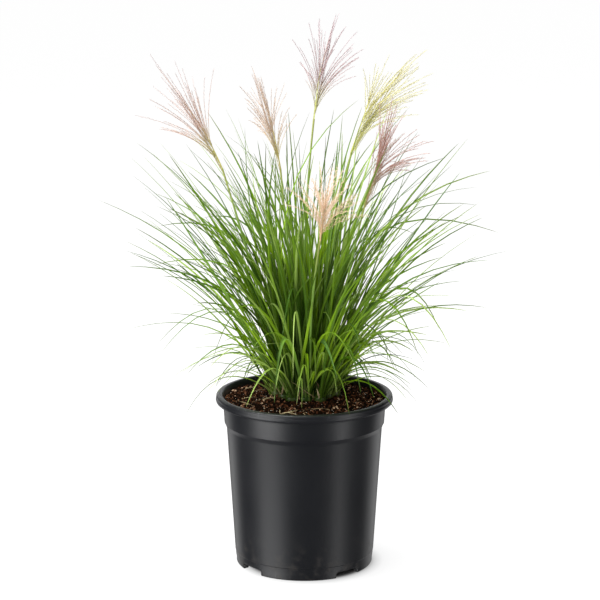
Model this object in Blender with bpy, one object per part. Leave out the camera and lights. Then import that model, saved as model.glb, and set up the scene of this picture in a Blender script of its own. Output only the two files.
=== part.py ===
"""Maiden grass in a black nursery pot: a fountain of narrow arching blades with six feathery flower heads.

Lengths are in metres. The origin is on the pot's axis, on the floor, with +Z up and the front towards -Y.
The clump is made of tufts that stand side by side in the soil. Each blade is an arc from its root in a tuft,
over a bend, to its tip, and it is bent clear of every other tuft, flower head, the pot and the soil.
"""

import math

import bmesh
import bpy
import numpy as np
from mathutils.bvhtree import BVHTree

MM = 0.001
SEED = 23

# The pot, turned round its axis. Radii and heights of the outside.
RIM_RADIUS = 0.1150
MOUTH_RADIUS = 0.1067
POT_HEIGHT = 0.2260
LIP_DEPTH = 0.0100
BAND_RADIUS = 0.1052
BAND_TOP = 0.2110
BAND_FOOT_RADIUS = 0.1038
BAND_FOOT = 0.1880
STEP_RADIUS = 0.1010
STEP_HEIGHT = 0.1832
WALL_FOOT_RADIUS = 0.0904
WALL_FOOT_HEIGHT = 0.0130
FOOT_RADIUS = 0.0880
FOOT_WIDTH = 0.0070
FLOOR_UNDERSIDE = 0.0085
FLOOR_THICKNESS = 0.0025
WALL = 0.0016
POT_SEGMENTS = 32

# How the pot's edges are rounded off
FLOOR_FILLET = 0.0050
FLARE_HEIGHT = 0.2140
MOUTH_EDGE = (0.0008, 0.0025)
LIP_EDGE = 0.0016
LIP_ROOT = (0.0014, 0.0012)
FOOT_CORNER_HEIGHT = 0.0055
FOOT_EDGE = (0.0010, 0.0012)
SMOOTHEST_EDGE = 32

# Four slots through the foot, and a drain hole in the floor behind each
SLOT_BEARING = 39.25
SLOT_WIDTH = 0.0365
SLOT_HEIGHT = 0.0080
SLOT_ROUNDING = 0.0030
SLOT_CUT = 0.0300
CUT_BELOW = 0.0010
DRAIN_RADIUS = 0.0060
DRAIN_PLACE = 0.0660
DRAIN_SIDES = 10

# The potting mix, which rises from its height at the wall towards the pot's axis
SOIL_HEIGHT = 0.2190
SOIL_GAP = 0.0004
SOIL_EDGE = BAND_RADIUS - WALL - SOIL_GAP
SOIL_MOUND = 0.0040
SOIL_ROUGH = 0.0012
SOIL_DIP = 0.0010
SOIL_SEGMENTS = 16
SOIL_RINGS = (0.90, 0.76, 0.62)

# The tufts, in a six-sided lattice round the clump's middle
CLUMP_MIDDLE = (0.0020, 0.0150)
TUFT_PITCH = 0.0185
TUFT_RINGS = 2
TUFT_RADIUS = 0.0082
TUFT_DEPTH = 0.0080
TUFT_RISE = 0.0050
TUFT_TAPER = 0.9
BLADES_A_TUFT = 13
ROOT_SPREAD = 0.0060
ROOT_RISE = 0.0015
FIRST_ROOT = 0.3
ROOT_TURN = (40.0, 70.0)
HOLE_GAP = 0.0004
HOLE_HEADROOM = 0.0200
CROWN_SIDES = 6

# A blade: it is narrow at its foot, swells to its full width and tapers to its tip
BLADE_WIDTH = 0.0049
BLADE_FOOT = 0.48
BLADE_SWELL = 2.2
BLADE_TAPER = (2.2, 0.6)
ROLL = 0.8
KEEL = 0.17
THINNEST = 0.0006
ARC_POINTS = 6
CLEARANCE = 0.0004
TRIES = 200

# A culm and its flower head
CULM_ROOT_RADIUS = 0.00140
CULM_TOP_RADIUS = 0.00085
CULM_HOLE_RADIUS = 0.0021
CULM_DEPTH = 0.0100
CULM_COLLAR = 0.0010
CULM_POINTS = 6
STEM_SIDES = 5
HEAD_GAP = 0.0003
HEAD_POINTS = 5
HEAD_ONWARD = 0.06
HEAD_AXIS_RADII = (0.0012, 0.0008)
SPIKE_RADII = (0.0004, 0.0013, 0.0008, 0.0014, 0.0009)

# The heights in the tables below are in mm over this level
TABLE_LEVEL = 0.2120

# Blades set by hand: bearing in degrees from +X, then in mm the bend's and the tip's distance out from the
# axis and height, and the width.
LEADING_BLADES = (
    (192, 120, 178, 263, 277, 5.4),
    (170, 103, 261, 218, 323, 4.6),
    (204, 130, 191, 189, 286, 6.4),
    (158, 146, 236, 212, 263, 4.4),
    (200, 103, 212, 209, 212, 4.4),
    (165, 102, 180, 208, 168, 4.4),
    (186, 98, 146, 184, 173, 4.8),
    (215, 107, 129, 193, 208, 6.6),
    (197, 139, 114, 235, 114, 4.4),
    (214, 131, 146, 212, 100, 4.6),
    (208, 118, 90, 170, 56, 4.4),
    (232, 124, 81, 203, 49, 4.6),
    (246, 120, 70, 176, 39, 4.6),
    (258, 138, 110, 178, 46, 6.6),
    (152, 72, 249, 134, 293, 4.4),
    (146, 109, 250, 201, 302, 4.2),
    (178, 93, 235, 174, 292, 4.4),
    (148, 133, 217, 228, 211, 4.2),
    (212, 96, 112, 169, 149, 4.4),
    (220, 106, 67, 157, 80, 4.2),
    (150, 72, 274, 98, 372, 4.2),
    (155, 58, 290, 62, 358, 4.2),
    (118, 108, 259, 107, 327, 4.4),
    (140, 54, 290, 137, 340, 4.6),
    (150, 2, 315, 39, 371, 5.0),
    (30, -21, 310, 8, 380, 4.4),
    (40, 23, 336, 93, 394, 4.6),
    (64, 80, 226, 100, 331, 7.0),
    (52, 90, 283, 151, 328, 4.4),
    (22, 102, 270, 200, 311, 4.6),
    (12, 126, 247, 247, 297, 4.6),
    (-12, 118, 192, 199, 310, 7.8),
    (5, 146, 264, 224, 281, 4.2),
    (28, 144, 237, 262, 239, 4.4),
    (15, 128, 208, 268, 193, 4.6),
    (-8, 138, 173, 264, 227, 4.8),
    (-16, 145, 176, 241, 203, 6.6),
    (20, 125, 173, 198, 228, 4.8),
    (-14, 116, 129, 176, 180, 6.6),
    (38, 135, 206, 173, 298, 4.4),
    (30, 101, 226, 191, 283, 4.2),
    (-10, 150, 131, 236, 136, 4.8),
    (-30, 164, 153, 210, 98, 4.8),
    (18, 111, 77, 175, 90, 4.4),
    (-24, 139, 101, 168, 67, 4.6),
    (-36, 157, 123, 191, 90, 4.4),
    (20, 112, 62, 156, 62, 4.4),
    (-20, 100, 57, 127, 29, 4.4),
    (-54, 116, 77, 147, 38, 5.0),
    (-44, 128, 115, 171, 93, 4.4),
    (-73, 84, 101, 138, 66, 6.6),
    (-80, 66, 97, 84, 52, 4.8),
    (-88, 92, 88, 161, 44, 4.6),
    (-108, 88, 82, 124, 34, 4.6),
    (-94, 142, 150, 229, 92, 4.8),
    (-64, 129, 100, 158, 50, 4.4),
    (88, 130, 240, 224, 190, 4.6),
    (262, 118, 176, 196, 132, 4.6),
    (-6, 112, 120, 190, 150, 5.0),
    (8, 104, 100, 176, 122, 4.6),
    (-18, 96, 88, 150, 84, 4.8),
    (-2, 88, 150, 182, 214, 4.6),
    (190, 96, 110, 178, 128, 4.6),
    (176, 84, 132, 166, 176, 4.4),
)

# A blade set by hand stands at the free root nearest to this share of its bend's distance out. Where it
# crosses another, its bend and tip are moved by this many millimetres more at each attempt, and turned by
# these degrees to a millimetre.
ROOT_SHARE = 0.30
LOOSENING = 0.12
BEND_TURN = 1 / 3
TIP_TURN = 1 / 5

# The other blades lean out further the nearer the clump's edge they stand. Each pair runs from the centre to
# the edge: the lean at the root and the bend along the blade in degrees, and the length.
LEAN = (4.0, 33.0)
BEND = (18.0, 78.0)
LENGTH = (0.382, 0.325)

# How far those blades stray from that: normal spreads, and the lowest and highest factors
PLACE_SPREAD = 0.16
BEARING_SPREAD = (72.0, 12.0)
LEAN_SPREAD = 4.0
SWAY_SPREAD = 0.035
LEAST_BEND = 6.0
BEND_FACTORS = (0.45, 1.5)
LENGTH_FACTORS = (0.82, 1.12)
WIDTH_FACTORS = (0.8, 1.2)
BEND_GROWTH = 1.5
CURVE_STEPS = 41
BEND_AT = 0.55
LONGEST_REACH = 0.232
LOWEST_TIP = 0.030
HIGHEST_TIP = 0.385

# Flower heads: the culm's foot in thirds of the tufts' lattice, in mm a point that the culm passes, its top
# and the axis's tip, how far the spikes spread to front and back, how many there are, and the colour at the
# foot and at the tips.
FLOWER_HEADS = (
    ((-5, 1), (-83, 12, 232), (-105, 15, 306), (-132, 15, 362), 26, 15,
     (0.46, 0.36, 0.13), (0.58, 0.46, 0.40)),
    ((-2, 1), (-28, 38, 272), (-31, 45, 301), (-45, 46, 372), 24, 14,
     (0.44, 0.33, 0.12), (0.66, 0.42, 0.30)),
    ((-1, 2), (5, 18, 291), (12, 20, 369), (20, 20, 432), 26, 15,
     (0.40, 0.38, 0.12), (0.50, 0.29, 0.28)),
    ((2, 2), (55, 49, 296), (61, 55, 322), (84, 57, 388), 26, 15,
     (0.50, 0.50, 0.14), (0.62, 0.60, 0.18)),
    ((5, -1), (62, -28, 205), (78, -35, 277), (96, -36, 334), 26, 14,
     (0.42, 0.30, 0.14), (0.42, 0.20, 0.15)),
    ((4, -5), (12, -82, 178), (19, -95, 233), (24, -98, 276), 24, 14,
     (0.55, 0.40, 0.18), (0.74, 0.46, 0.26)),
)

# The tips of the spikes that stand out in each head, in mm to the right and up, seen from the front
SPIKE_TIPS = (
    ((-184, 437), (-164, 439), (-127, 418), (-191, 408), (-193, 395), (-188, 383), (-181, 356), (-172, 426),
     (-150, 415)),
    ((-67, 429), (-81, 407), (-77, 385), (-42, 402), (-36, 401), (-21, 379), (-64, 360), (-59, 415)),
    ((-14, 467), (6, 489), (19, 492), (39, 498), (50, 484), (65, 476), (71, 457), (66, 444), (0, 432)),
    ((108, 443), (91, 432), (154, 451), (162, 419), (153, 411), (148, 401), (137, 386), (140, 441),
     (126, 433)),
    ((114, 395), (125, 381), (138, 362), (158, 349), (153, 335), (148, 326), (129, 319), (100, 371),
     (107, 386)),
    ((9, 312), (-2, 293), (19, 323), (29, 321), (38, 318), (54, 300), (61, 290), (71, 283), (-6, 302)),
)

# Those tips stand within this share of the head's spread to front and back. The other spikes end between two
# of them, at this share of the way there from the culm's top.
SEEN_DEPTH = 0.6
FILL_LENGTH = 0.84

# Where along the axis the spikes start and how far they bulge along it, from the spike that turns away least
# to the one that turns away most. A tip that would cross another moves by the shift at each attempt.
SPIKE_START = (0.96, 0.10)
SPIKE_BULGE = (0.05, 0.17)
SPIKE_BEND_AT = 0.48
SPIKE_SIDES = 3
SPIKE_SHIFT = 0.0002
FOOT_COLOUR_SHARE = 0.35
GOLDEN_ANGLE = math.pi * (3 - math.sqrt(5))

UP = np.array((0.0, 0.0, 1.0))


def clear_scene():
    for obj in list(bpy.data.objects):
        bpy.data.objects.remove(obj, do_unlink=True)


def surface(name, colour, roughness):
    """A plain finish."""
    material = bpy.data.materials.new(name)
    material.use_nodes = True
    shader = material.node_tree.nodes["Principled BSDF"]
    shader.inputs["Base Color"].default_value = (*colour, 1)
    shader.inputs["Roughness"].default_value = roughness
    shader.inputs["Metallic"].default_value = 0
    return material


def solid(name, points, faces, finish=None):
    """An object with this mesh, its faces turned outwards."""
    mesh = bpy.data.meshes.new(name)
    mesh.from_pydata([tuple(map(float, point)) for point in points], [], [tuple(face) for face in faces])
    shape = bmesh.new()
    shape.from_mesh(mesh)
    bmesh.ops.recalc_face_normals(shape, faces=shape.faces)
    shape.to_mesh(mesh)
    shape.free()
    obj = bpy.data.objects.new(name, mesh)
    bpy.context.scene.collection.objects.link(obj)
    if finish:
        mesh.materials.append(finish)
    return obj


def apply_modifiers(obj):
    """Gives the object the mesh that its modifiers make."""
    bpy.context.view_layer.update()
    graph = bpy.context.evaluated_depsgraph_get()
    made = bpy.data.meshes.new_from_object(obj.evaluated_get(graph))
    obj.modifiers.clear()
    obj.data = made


def combine(obj, others, operation):
    """Joins the other objects to this one, or cuts them from it, and removes them."""
    group = bpy.data.collections.new(obj.name + "_with")
    bpy.context.scene.collection.children.link(group)
    for other in others:
        bpy.context.scene.collection.objects.unlink(other)
        group.objects.link(other)
    boolean = obj.modifiers.new(operation.lower(), "BOOLEAN")
    boolean.operand_type = "COLLECTION"
    boolean.operation = operation
    boolean.collection = group
    apply_modifiers(obj)
    for other in others:
        bpy.data.objects.remove(other, do_unlink=True)
    bpy.data.collections.remove(group)
    if operation == "UNION":
        keep_largest_shell(obj)


def keep_largest_shell(obj):
    """Fills a hollow that joining has sealed, and drops a loose scrap."""
    shape = bmesh.new()
    shape.from_mesh(obj.data)
    unseen = set(shape.verts)
    shells = []
    while unseen:
        shell, edge_of_shell = set(), [unseen.pop()]
        while edge_of_shell:
            vertex = edge_of_shell.pop()
            shell.add(vertex)
            beside = {edge.other_vert(vertex) for edge in vertex.link_edges} & unseen
            unseen -= beside
            edge_of_shell.extend(beside)
        shells.append(shell)
    shells.sort(key=len)
    bmesh.ops.delete(shape, geom=[vertex for shell in shells[:-1] for vertex in shell], context="VERTS")
    shape.to_mesh(obj.data)
    shape.free()


def arc(start, bend, end, count):
    """Points on a smooth arc from start, past bend, to end."""
    start, bend, end = (np.asarray(point, float) for point in (start, bend, end))
    near, far = np.linalg.norm(bend - start), np.linalg.norm(end - bend)
    at = near / (near + far)
    pull = (bend - start * (1 - at) ** 2 - end * at**2) / (2 * at * (1 - at))
    t = np.linspace(0, 1, count)[:, None]
    return start * (1 - t) ** 2 + pull * 2 * t * (1 - t) + end * t**2


def directions(path):
    along = np.gradient(path, axis=0)
    return along / np.linalg.norm(along, axis=1)[:, None]


def ribbon(path, width, roll, grown=0.0):
    """A grass blade along the path, flat above and keeled below, as (points, triangles), fatter by grown."""
    along = directions(path)
    run = path[-1] - path[0]
    bearing = math.atan2(run[1], run[0])
    across = np.array((-math.sin(bearing), math.cos(bearing), 0.0))
    points = []
    for i, (place, ahead) in enumerate(zip(path[:-1], along)):
        part = i / (len(path) - 1)
        taper = (1 - part ** BLADE_TAPER[0]) ** BLADE_TAPER[1]
        broad = width * min(1.0, BLADE_FOOT + BLADE_SWELL * part) * taper + 2 * grown
        deep = max(THINNEST, KEEL * (broad - 2 * grown)) + grown
        above = np.cross(ahead, across)
        above /= np.linalg.norm(above)
        side = np.cross(above, ahead)
        turn = roll[0] + (roll[1] - roll[0]) * part
        side, above = (
            side * math.cos(turn) + above * math.sin(turn),
            above * math.cos(turn) - side * math.sin(turn),
        )
        points.append(place - side * broad / 2 + above * grown)
        points.append(place + side * broad / 2 + above * grown)
        points.append(place - above * deep)
    points.append(path[-1])
    faces = [(0, 1, 2)]
    rings = len(path) - 1
    for i in range(rings - 1):
        a, b, k = 3 * i, 3 * i + 1, 3 * i + 2
        for first, second in ((a, b), (k, a), (b, k)):
            faces.append((first, first + 3, second + 3))
            faces.append((first, second + 3, second))
    a, b, k, tip = 3 * rings - 3, 3 * rings - 2, 3 * rings - 1, 3 * rings
    faces += [(a, tip, b), (k, tip, a), (b, tip, k)]
    return points, faces


def tube(path, radii, sides, pointed):
    """A round stem along the path, as (points, triangles), with a flat end or a pointed one."""
    path = np.asarray(path, float)
    along = directions(path)
    reference = np.array((1.0, 0.0, 0.0)) if abs(along[0][2]) > 0.5 else UP
    rings = len(path) - 1 if pointed else len(path)
    points = []
    for place, ahead, radius in zip(path[:rings], along, radii):
        across = np.cross(ahead, reference)
        across /= np.linalg.norm(across)
        above = np.cross(across, ahead)
        for k in range(sides):
            turn = math.tau * k / sides
            points.append(place + radius * (math.cos(turn) * across + math.sin(turn) * above))
    faces = [(0, k, k + 1) for k in range(1, sides - 1)]
    for i in range(rings - 1):
        for k in range(sides):
            a, b = i * sides + k, i * sides + (k + 1) % sides
            faces += [(a, a + sides, b + sides), (a, b + sides, b)]
    last = (rings - 1) * sides
    if pointed:
        points.append(path[-1])
        faces += [(last + k, last + sides, last + (k + 1) % sides) for k in range(sides)]
    else:
        faces += [(last, last + k + 1, last + k) for k in range(1, sides - 1)]
    return points, faces


class Room:
    """What is already placed, with the node that each shape belongs to."""

    def __init__(self):
        self.trees, self.owners = [], []
        self.low, self.high = np.empty((0, 3)), np.empty((0, 3))

    def add(self, owner, points, faces):
        points = np.asarray(points, float)
        self.trees.append(BVHTree.FromPolygons(points.tolist(), faces))
        self.owners.append(owner)
        self.low = np.vstack((self.low, points.min(axis=0)))
        self.high = np.vstack((self.high, points.max(axis=0)))

    def crossed(self, points, faces):
        """The owners of the shapes that this one crosses."""
        points = np.asarray(points, float)
        near = np.all((self.low < points.max(axis=0)) & (self.high > points.min(axis=0)), axis=1)
        tree = BVHTree.FromPolygons(points.tolist(), faces)
        return {self.owners[i] for i in np.flatnonzero(near) if tree.overlap(self.trees[i])}


def pot_profile():
    """The pot's half section: from the middle of its floor inside, over the rim, to the middle underneath."""
    floor = FLOOR_UNDERSIDE + FLOOR_THICKNESS
    inside_foot = WALL_FOOT_RADIUS - WALL
    lip_foot = POT_HEIGHT - LIP_DEPTH
    return (
        (0, floor),
        (inside_foot - FLOOR_FILLET, floor),
        (inside_foot, floor + FLOOR_FILLET),
        (STEP_RADIUS - WALL, STEP_HEIGHT),
        (BAND_FOOT_RADIUS - WALL, BAND_FOOT),
        (BAND_RADIUS - WALL, FLARE_HEIGHT),
        (MOUTH_RADIUS - MOUTH_EDGE[0], POT_HEIGHT - MOUTH_EDGE[1]),
        (MOUTH_RADIUS, POT_HEIGHT),
        (RIM_RADIUS - LIP_EDGE, POT_HEIGHT),
        (RIM_RADIUS, POT_HEIGHT - LIP_EDGE),
        (RIM_RADIUS, lip_foot + LIP_EDGE),
        (RIM_RADIUS - LIP_EDGE, lip_foot),
        (BAND_RADIUS + LIP_ROOT[0], lip_foot - LIP_ROOT[1]),
        (BAND_RADIUS, BAND_TOP),
        (BAND_FOOT_RADIUS, BAND_FOOT),
        (STEP_RADIUS, STEP_HEIGHT),
        (WALL_FOOT_RADIUS, WALL_FOOT_HEIGHT),
        (WALL_FOOT_RADIUS - FOOT_EDGE[0], FOOT_CORNER_HEIGHT),
        (FOOT_RADIUS + FOOT_EDGE[0], FOOT_EDGE[1]),
        (FOOT_RADIUS, 0),
        (FOOT_RADIUS - FOOT_WIDTH, 0),
        (FOOT_RADIUS - FOOT_WIDTH - FOOT_EDGE[0], FLOOR_UNDERSIDE),
        (0, FLOOR_UNDERSIDE),
    )


def turned(name, profile, segments, finish):
    """A solid of revolution whose profile starts and ends on the axis."""
    mesh = bpy.data.meshes.new(name)
    mesh.from_pydata([(r, 0, z) for r, z in profile], [(i, i + 1) for i in range(len(profile) - 1)], [])
    mesh.materials.append(finish)
    obj = bpy.data.objects.new(name, mesh)
    bpy.context.scene.collection.objects.link(obj)
    screw = obj.modifiers.new("turn", "SCREW")
    screw.steps = screw.render_steps = segments
    screw.use_merge_vertices = True
    screw.merge_threshold = 0.00001
    apply_modifiers(obj)
    return obj


def block(size, place, bearing):
    """A box for cutting, with its upper long edges rounded off."""
    shape = bmesh.new()
    bmesh.ops.create_cube(shape, size=1)
    for corner in shape.verts:
        corner.co = [a * b for a, b in zip(corner.co, size)]
    upper = []
    for edge in shape.edges:
        first, second = (corner.co for corner in edge.verts)
        if min(first.z, second.z) > 0 and first.y * second.y > 0:
            upper.append(edge)
    bmesh.ops.bevel(shape, geom=upper, offset=SLOT_ROUNDING, segments=2, profile=0.5, affect="EDGES")
    mesh = bpy.data.meshes.new("slot")
    shape.to_mesh(mesh)
    shape.free()
    obj = bpy.data.objects.new("slot", mesh)
    obj.location = place
    obj.rotation_euler.z = bearing
    bpy.context.scene.collection.objects.link(obj)
    return obj


def upright(name, radius, low, high, x, y, sides, taper=1.0):
    """A straight or tapered prism, for a hole or for a tuft's crown."""
    points, faces = [], []
    for height, size in ((low, radius), (high, radius * taper)):
        for k in range(sides):
            turn = math.tau * k / sides
            points.append((x + size * math.cos(turn), y + size * math.sin(turn), height))
    for k in range(sides):
        after = (k + 1) % sides
        faces.append((k, after, after + sides, k + sides))
    faces.append(tuple(reversed(range(sides))))
    faces.append(tuple(range(sides, 2 * sides)))
    return solid(name, points, faces)


def make_pot():
    pot = turned("pot", pot_profile(), POT_SEGMENTS, surface("black_plastic", (0.022, 0.023, 0.026), 0.42))
    cutters = []
    for quarter in range(4):
        bearing = math.radians(SLOT_BEARING + 90 * quarter)
        reach = FOOT_RADIUS - FOOT_WIDTH / 2
        place = (reach * math.cos(bearing), reach * math.sin(bearing), SLOT_HEIGHT / 2 - CUT_BELOW)
        cutters.append(block((SLOT_CUT, SLOT_WIDTH, SLOT_HEIGHT + 2 * CUT_BELOW), place, bearing))
        x, y = DRAIN_PLACE * math.cos(bearing), DRAIN_PLACE * math.sin(bearing)
        low, high = FLOOR_UNDERSIDE - CUT_BELOW, FLOOR_UNDERSIDE + FLOOR_THICKNESS + CUT_BELOW
        cutters.append(upright("drain", DRAIN_RADIUS, low, high, x, y, DRAIN_SIDES))
    combine(pot, cutters, "DIFFERENCE")
    pot.data.shade_smooth()
    pot.data.set_sharp_from_angle(angle=math.radians(SMOOTHEST_EDGE))
    return pot


def ground(place):
    """The soil's height at a place, but for its lumps."""
    return SOIL_HEIGHT + SOIL_MOUND * (1 - math.hypot(place[0], place[1]) / SOIL_EDGE)


def lattice(i, j):
    """The place of a cell in the tufts' lattice."""
    return CLUMP_MIDDLE[0] + TUFT_PITCH * (i + j / 2), CLUMP_MIDDLE[1] + TUFT_PITCH * j * math.sqrt(3) / 2


def culm_foot(head):
    return lattice(head[0][0] / 3, head[0][1] / 3)


def tuft_places():
    """The middles of the tufts, from the centre outwards."""
    steps = range(-TUFT_RINGS, TUFT_RINGS + 1)
    cells = [(i, j) for i in steps for j in steps if abs(i + j) <= TUFT_RINGS]
    cells.sort(key=lambda cell: (cell[0] ** 2 + cell[0] * cell[1] + cell[1] ** 2, cell))
    return [lattice(*cell) for cell in cells]


def make_soil():
    """Potting mix that fills the pot, uneven on top, with a plain hole for each tuft and culm."""
    floor = FLOOR_UNDERSIDE + FLOOR_THICKNESS + SOIL_GAP
    inside_foot = WALL_FOOT_RADIUS - WALL - SOIL_GAP
    flare = (MOUTH_RADIUS - MOUTH_EDGE[0] - BAND_RADIUS + WALL) / (POT_HEIGHT - MOUTH_EDGE[1] - FLARE_HEIGHT)
    shore = SOIL_HEIGHT - SOIL_DIP
    profile = [(0, SOIL_HEIGHT + SOIL_MOUND)]
    profile += [(SOIL_EDGE * part, SOIL_HEIGHT + SOIL_MOUND * (1 - part)) for part in reversed(SOIL_RINGS)]
    profile += [
        (SOIL_EDGE + flare * (shore - FLARE_HEIGHT), shore),
        (SOIL_EDGE, FLARE_HEIGHT),
        (BAND_FOOT_RADIUS - WALL - SOIL_GAP, BAND_FOOT + SOIL_GAP / 2),
        (STEP_RADIUS - WALL - SOIL_GAP, STEP_HEIGHT + SOIL_GAP / 2),
        (inside_foot, floor + FLOOR_FILLET + SOIL_GAP / 2),
        (inside_foot - FLOOR_FILLET, floor),
        (0, floor),
    ]
    soil = turned("soil", profile, SOIL_SEGMENTS, surface("potting_mix", (0.060, 0.036, 0.022), 0.95))
    draw = np.random.default_rng(SEED)
    for vertex in soil.data.vertices:
        if vertex.co.z > SOIL_HEIGHT - SOIL_DIP / 2:
            vertex.co.z += SOIL_ROUGH * draw.uniform(-1, 1)
    stands = [(TUFT_RADIUS + HOLE_GAP, TUFT_DEPTH, place) for place in tuft_places()]
    stands += [(CULM_HOLE_RADIUS, CULM_DEPTH, culm_foot(head)) for head in FLOWER_HEADS]
    holes = []
    for radius, depth, place in stands:
        low = ground(place) - depth - HOLE_GAP
        holes.append(upright("hole", radius, low, SOIL_HEIGHT + HOLE_HEADROOM, *place, CROWN_SIDES))
    combine(soil, holes, "DIFFERENCE")
    return soil


def make_culm(number, head, finish, room):
    """A flower stem from its hole in the soil to the foot of its head."""
    foot = culm_foot(head)
    start = np.array((*foot, ground(foot)))
    passes, top = (np.array(point) * MM + TABLE_LEVEL * UP for point in head[1:3])
    path = arc(start, passes, top, CULM_POINTS)
    path = np.vstack((start - CULM_DEPTH * UP, start + CULM_COLLAR * UP, path[1:]))
    path[-1] -= directions(path)[-1] * HEAD_GAP
    radii = np.linspace(CULM_ROOT_RADIUS, CULM_TOP_RADIUS, len(path))
    name = f"culm_{number}"
    points, faces = tube(path, radii, STEM_SIDES, pointed=False)
    room.add(name, points, faces)
    return solid(name, points, faces, finish)


def head_axis(head):
    """The axis of a flower head, which carries on the culm's bend."""
    passes, top, tip = (np.array(point) * MM + TABLE_LEVEL * UP for point in head[1:4])
    onward = (top - passes) / np.linalg.norm(top - passes)
    bend = (top + tip) / 2 + onward * np.linalg.norm(tip - top) * HEAD_ONWARD
    return arc(top, bend, tip, HEAD_POINTS)


def mixed(ends, part):
    """The value at this part of the way from the first end to the second."""
    return ends[0] + (ends[1] - ends[0]) * part


def spike_ends(head, tips, axis):
    """Where a head's spikes end: at the tips that stand out, and between those to front and back. The ones that
    turn least away from the axis come first."""
    top, middle, depth, count = head[2], head[3][1], head[4], head[5]
    seen = sorted(tips, key=lambda tip: math.atan2(tip[0] - top[0], tip[1] - top[2]))
    ends = [(x, middle + SEEN_DEPTH * depth * math.sin(GOLDEN_ANGLE * i), z) for i, (x, z) in enumerate(seen)]
    fills = count - len(seen)
    for k in range(fills):
        i = int((k + 0.5) * (len(seen) - 1) / fills)
        halfway = [(a + b) / 2 for a, b in zip(seen[i], seen[i + 1])]
        x, z = mixed((top[0], halfway[0]), FILL_LENGTH), mixed((top[2], halfway[1]), FILL_LENGTH)
        ends.append((x, middle + depth * (-1) ** k, z))
    ahead = (axis[-1] - axis[0]) / np.linalg.norm(axis[-1] - axis[0])
    ends = [MM * np.array(end) + TABLE_LEVEL * UP for end in ends]
    ends.sort(key=lambda end: -ahead @ (end - axis[0]) / np.linalg.norm(end - axis[0]))
    return ends


def spike_path(axis, part, end):
    """The arc of a flower head's spike. The outermost spikes start lowest."""
    position = mixed(SPIKE_START, part) * (len(axis) - 1)
    whole = min(int(position), len(axis) - 2)
    ahead = axis[whole + 1] - axis[whole]
    start = axis[whole] + ahead * (position - whole)
    ahead = ahead / np.linalg.norm(ahead)
    off = end - start - ahead * np.dot(end - start, ahead)
    start = start + off / np.linalg.norm(off) * HEAD_AXIS_RADII[1] / 2
    bulge = mixed(SPIKE_BULGE, part) * np.linalg.norm(end - start)
    passes = start + (end - start) * SPIKE_BEND_AT + ahead * bulge
    return arc(start, passes, end, len(SPIKE_RADII) + 1)


def make_head(number, head, tips, room):
    """A flower head: its axis and the beaded spikes along it, as one body."""
    name = f"plume_{number}"
    draw = np.random.default_rng(SEED + number)
    colour = [mixed(ends, 1 - FOOT_COLOUR_SHARE) for ends in zip(*head[6:])]
    axis = head_axis(head)
    points, faces = tube(axis, np.linspace(*HEAD_AXIS_RADII, len(axis)), STEM_SIDES, pointed=False)
    room.add(name, points, faces)
    plume = solid(name, points, faces, surface(name + "_flower", colour, 0.8))
    spikes = []
    ends = spike_ends(head, tips, axis)
    for i, end in enumerate(ends):
        for attempt in range(TRIES):
            moved = end + SPIKE_SHIFT * attempt * draw.uniform(-1, 1, 3)
            path = spike_path(axis, (i + 0.5) / len(ends), moved)
            if not room.crossed(*tube(path[1:], SPIKE_RADII[1:], SPIKE_SIDES, pointed=True)):
                break
        points, faces = tube(path, SPIKE_RADII, SPIKE_SIDES, pointed=True)
        room.add(name, points, faces)
        spikes.append(solid("spike", points, faces))
    combine(plume, spikes, "UNION")
    return plume


def roots_of(place):
    """Where a tuft's blades start, in a sunflower's pattern."""
    roots = []
    for i in range(BLADES_A_TUFT):
        away = ROOT_SPREAD * math.sqrt((i + FIRST_ROOT) / BLADES_A_TUFT)
        turn = i * GOLDEN_ANGLE + ROOT_TURN[0] * place[0] + ROOT_TURN[1] * place[1]
        x, y = place[0] + away * math.cos(turn), place[1] + away * math.sin(turn)
        roots.append(np.array((x, y, ground(place) + ROOT_RISE)))
    return roots


def from_axis(bearing, out, up):
    """A point this far out from the pot's axis and this high over the tables' level."""
    turn = math.radians(bearing)
    return np.array((out * math.cos(turn), out * math.sin(turn), TABLE_LEVEL + up))


def place_blade(room, name, propose):
    """The first proposal that crosses nothing, or failing that nothing of another node."""
    spare = None
    for attempt in range(TRIES):
        path, width, roll = propose(attempt)
        crossed = room.crossed(*ribbon(path, width, roll, CLEARANCE))
        if not crossed:
            break
        if spare is None and crossed == {name}:
            spare = path, width, roll
    else:
        if spare is None:
            return None
        path, width, roll = spare
    shape = ribbon(path, width, roll)
    room.add(name, *shape)
    return shape


def random_roll(draw):
    start = draw.uniform(-ROLL, ROLL)
    return start, start + draw.uniform(-ROLL, ROLL)


def leading_proposal(root, row, draw):
    """A blade set by hand, moved a little more at each further attempt."""
    bearing, bend_out, bend_up, tip_out, tip_up, width = row
    roll = random_roll(draw)

    def propose(attempt):
        loose = LOOSENING * attempt
        bend = from_axis(
            bearing + BEND_TURN * draw.uniform(-loose, loose),
            MM * (bend_out + draw.uniform(-loose, loose)),
            MM * (bend_up + draw.uniform(-loose, loose)),
        )
        tip = from_axis(
            bearing + TIP_TURN * draw.uniform(-loose, loose),
            MM * tip_out,
            MM * (tip_up + draw.uniform(-loose, loose)),
        )
        return arc(root, bend, tip, ARC_POINTS), MM * width, roll

    return propose


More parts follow.
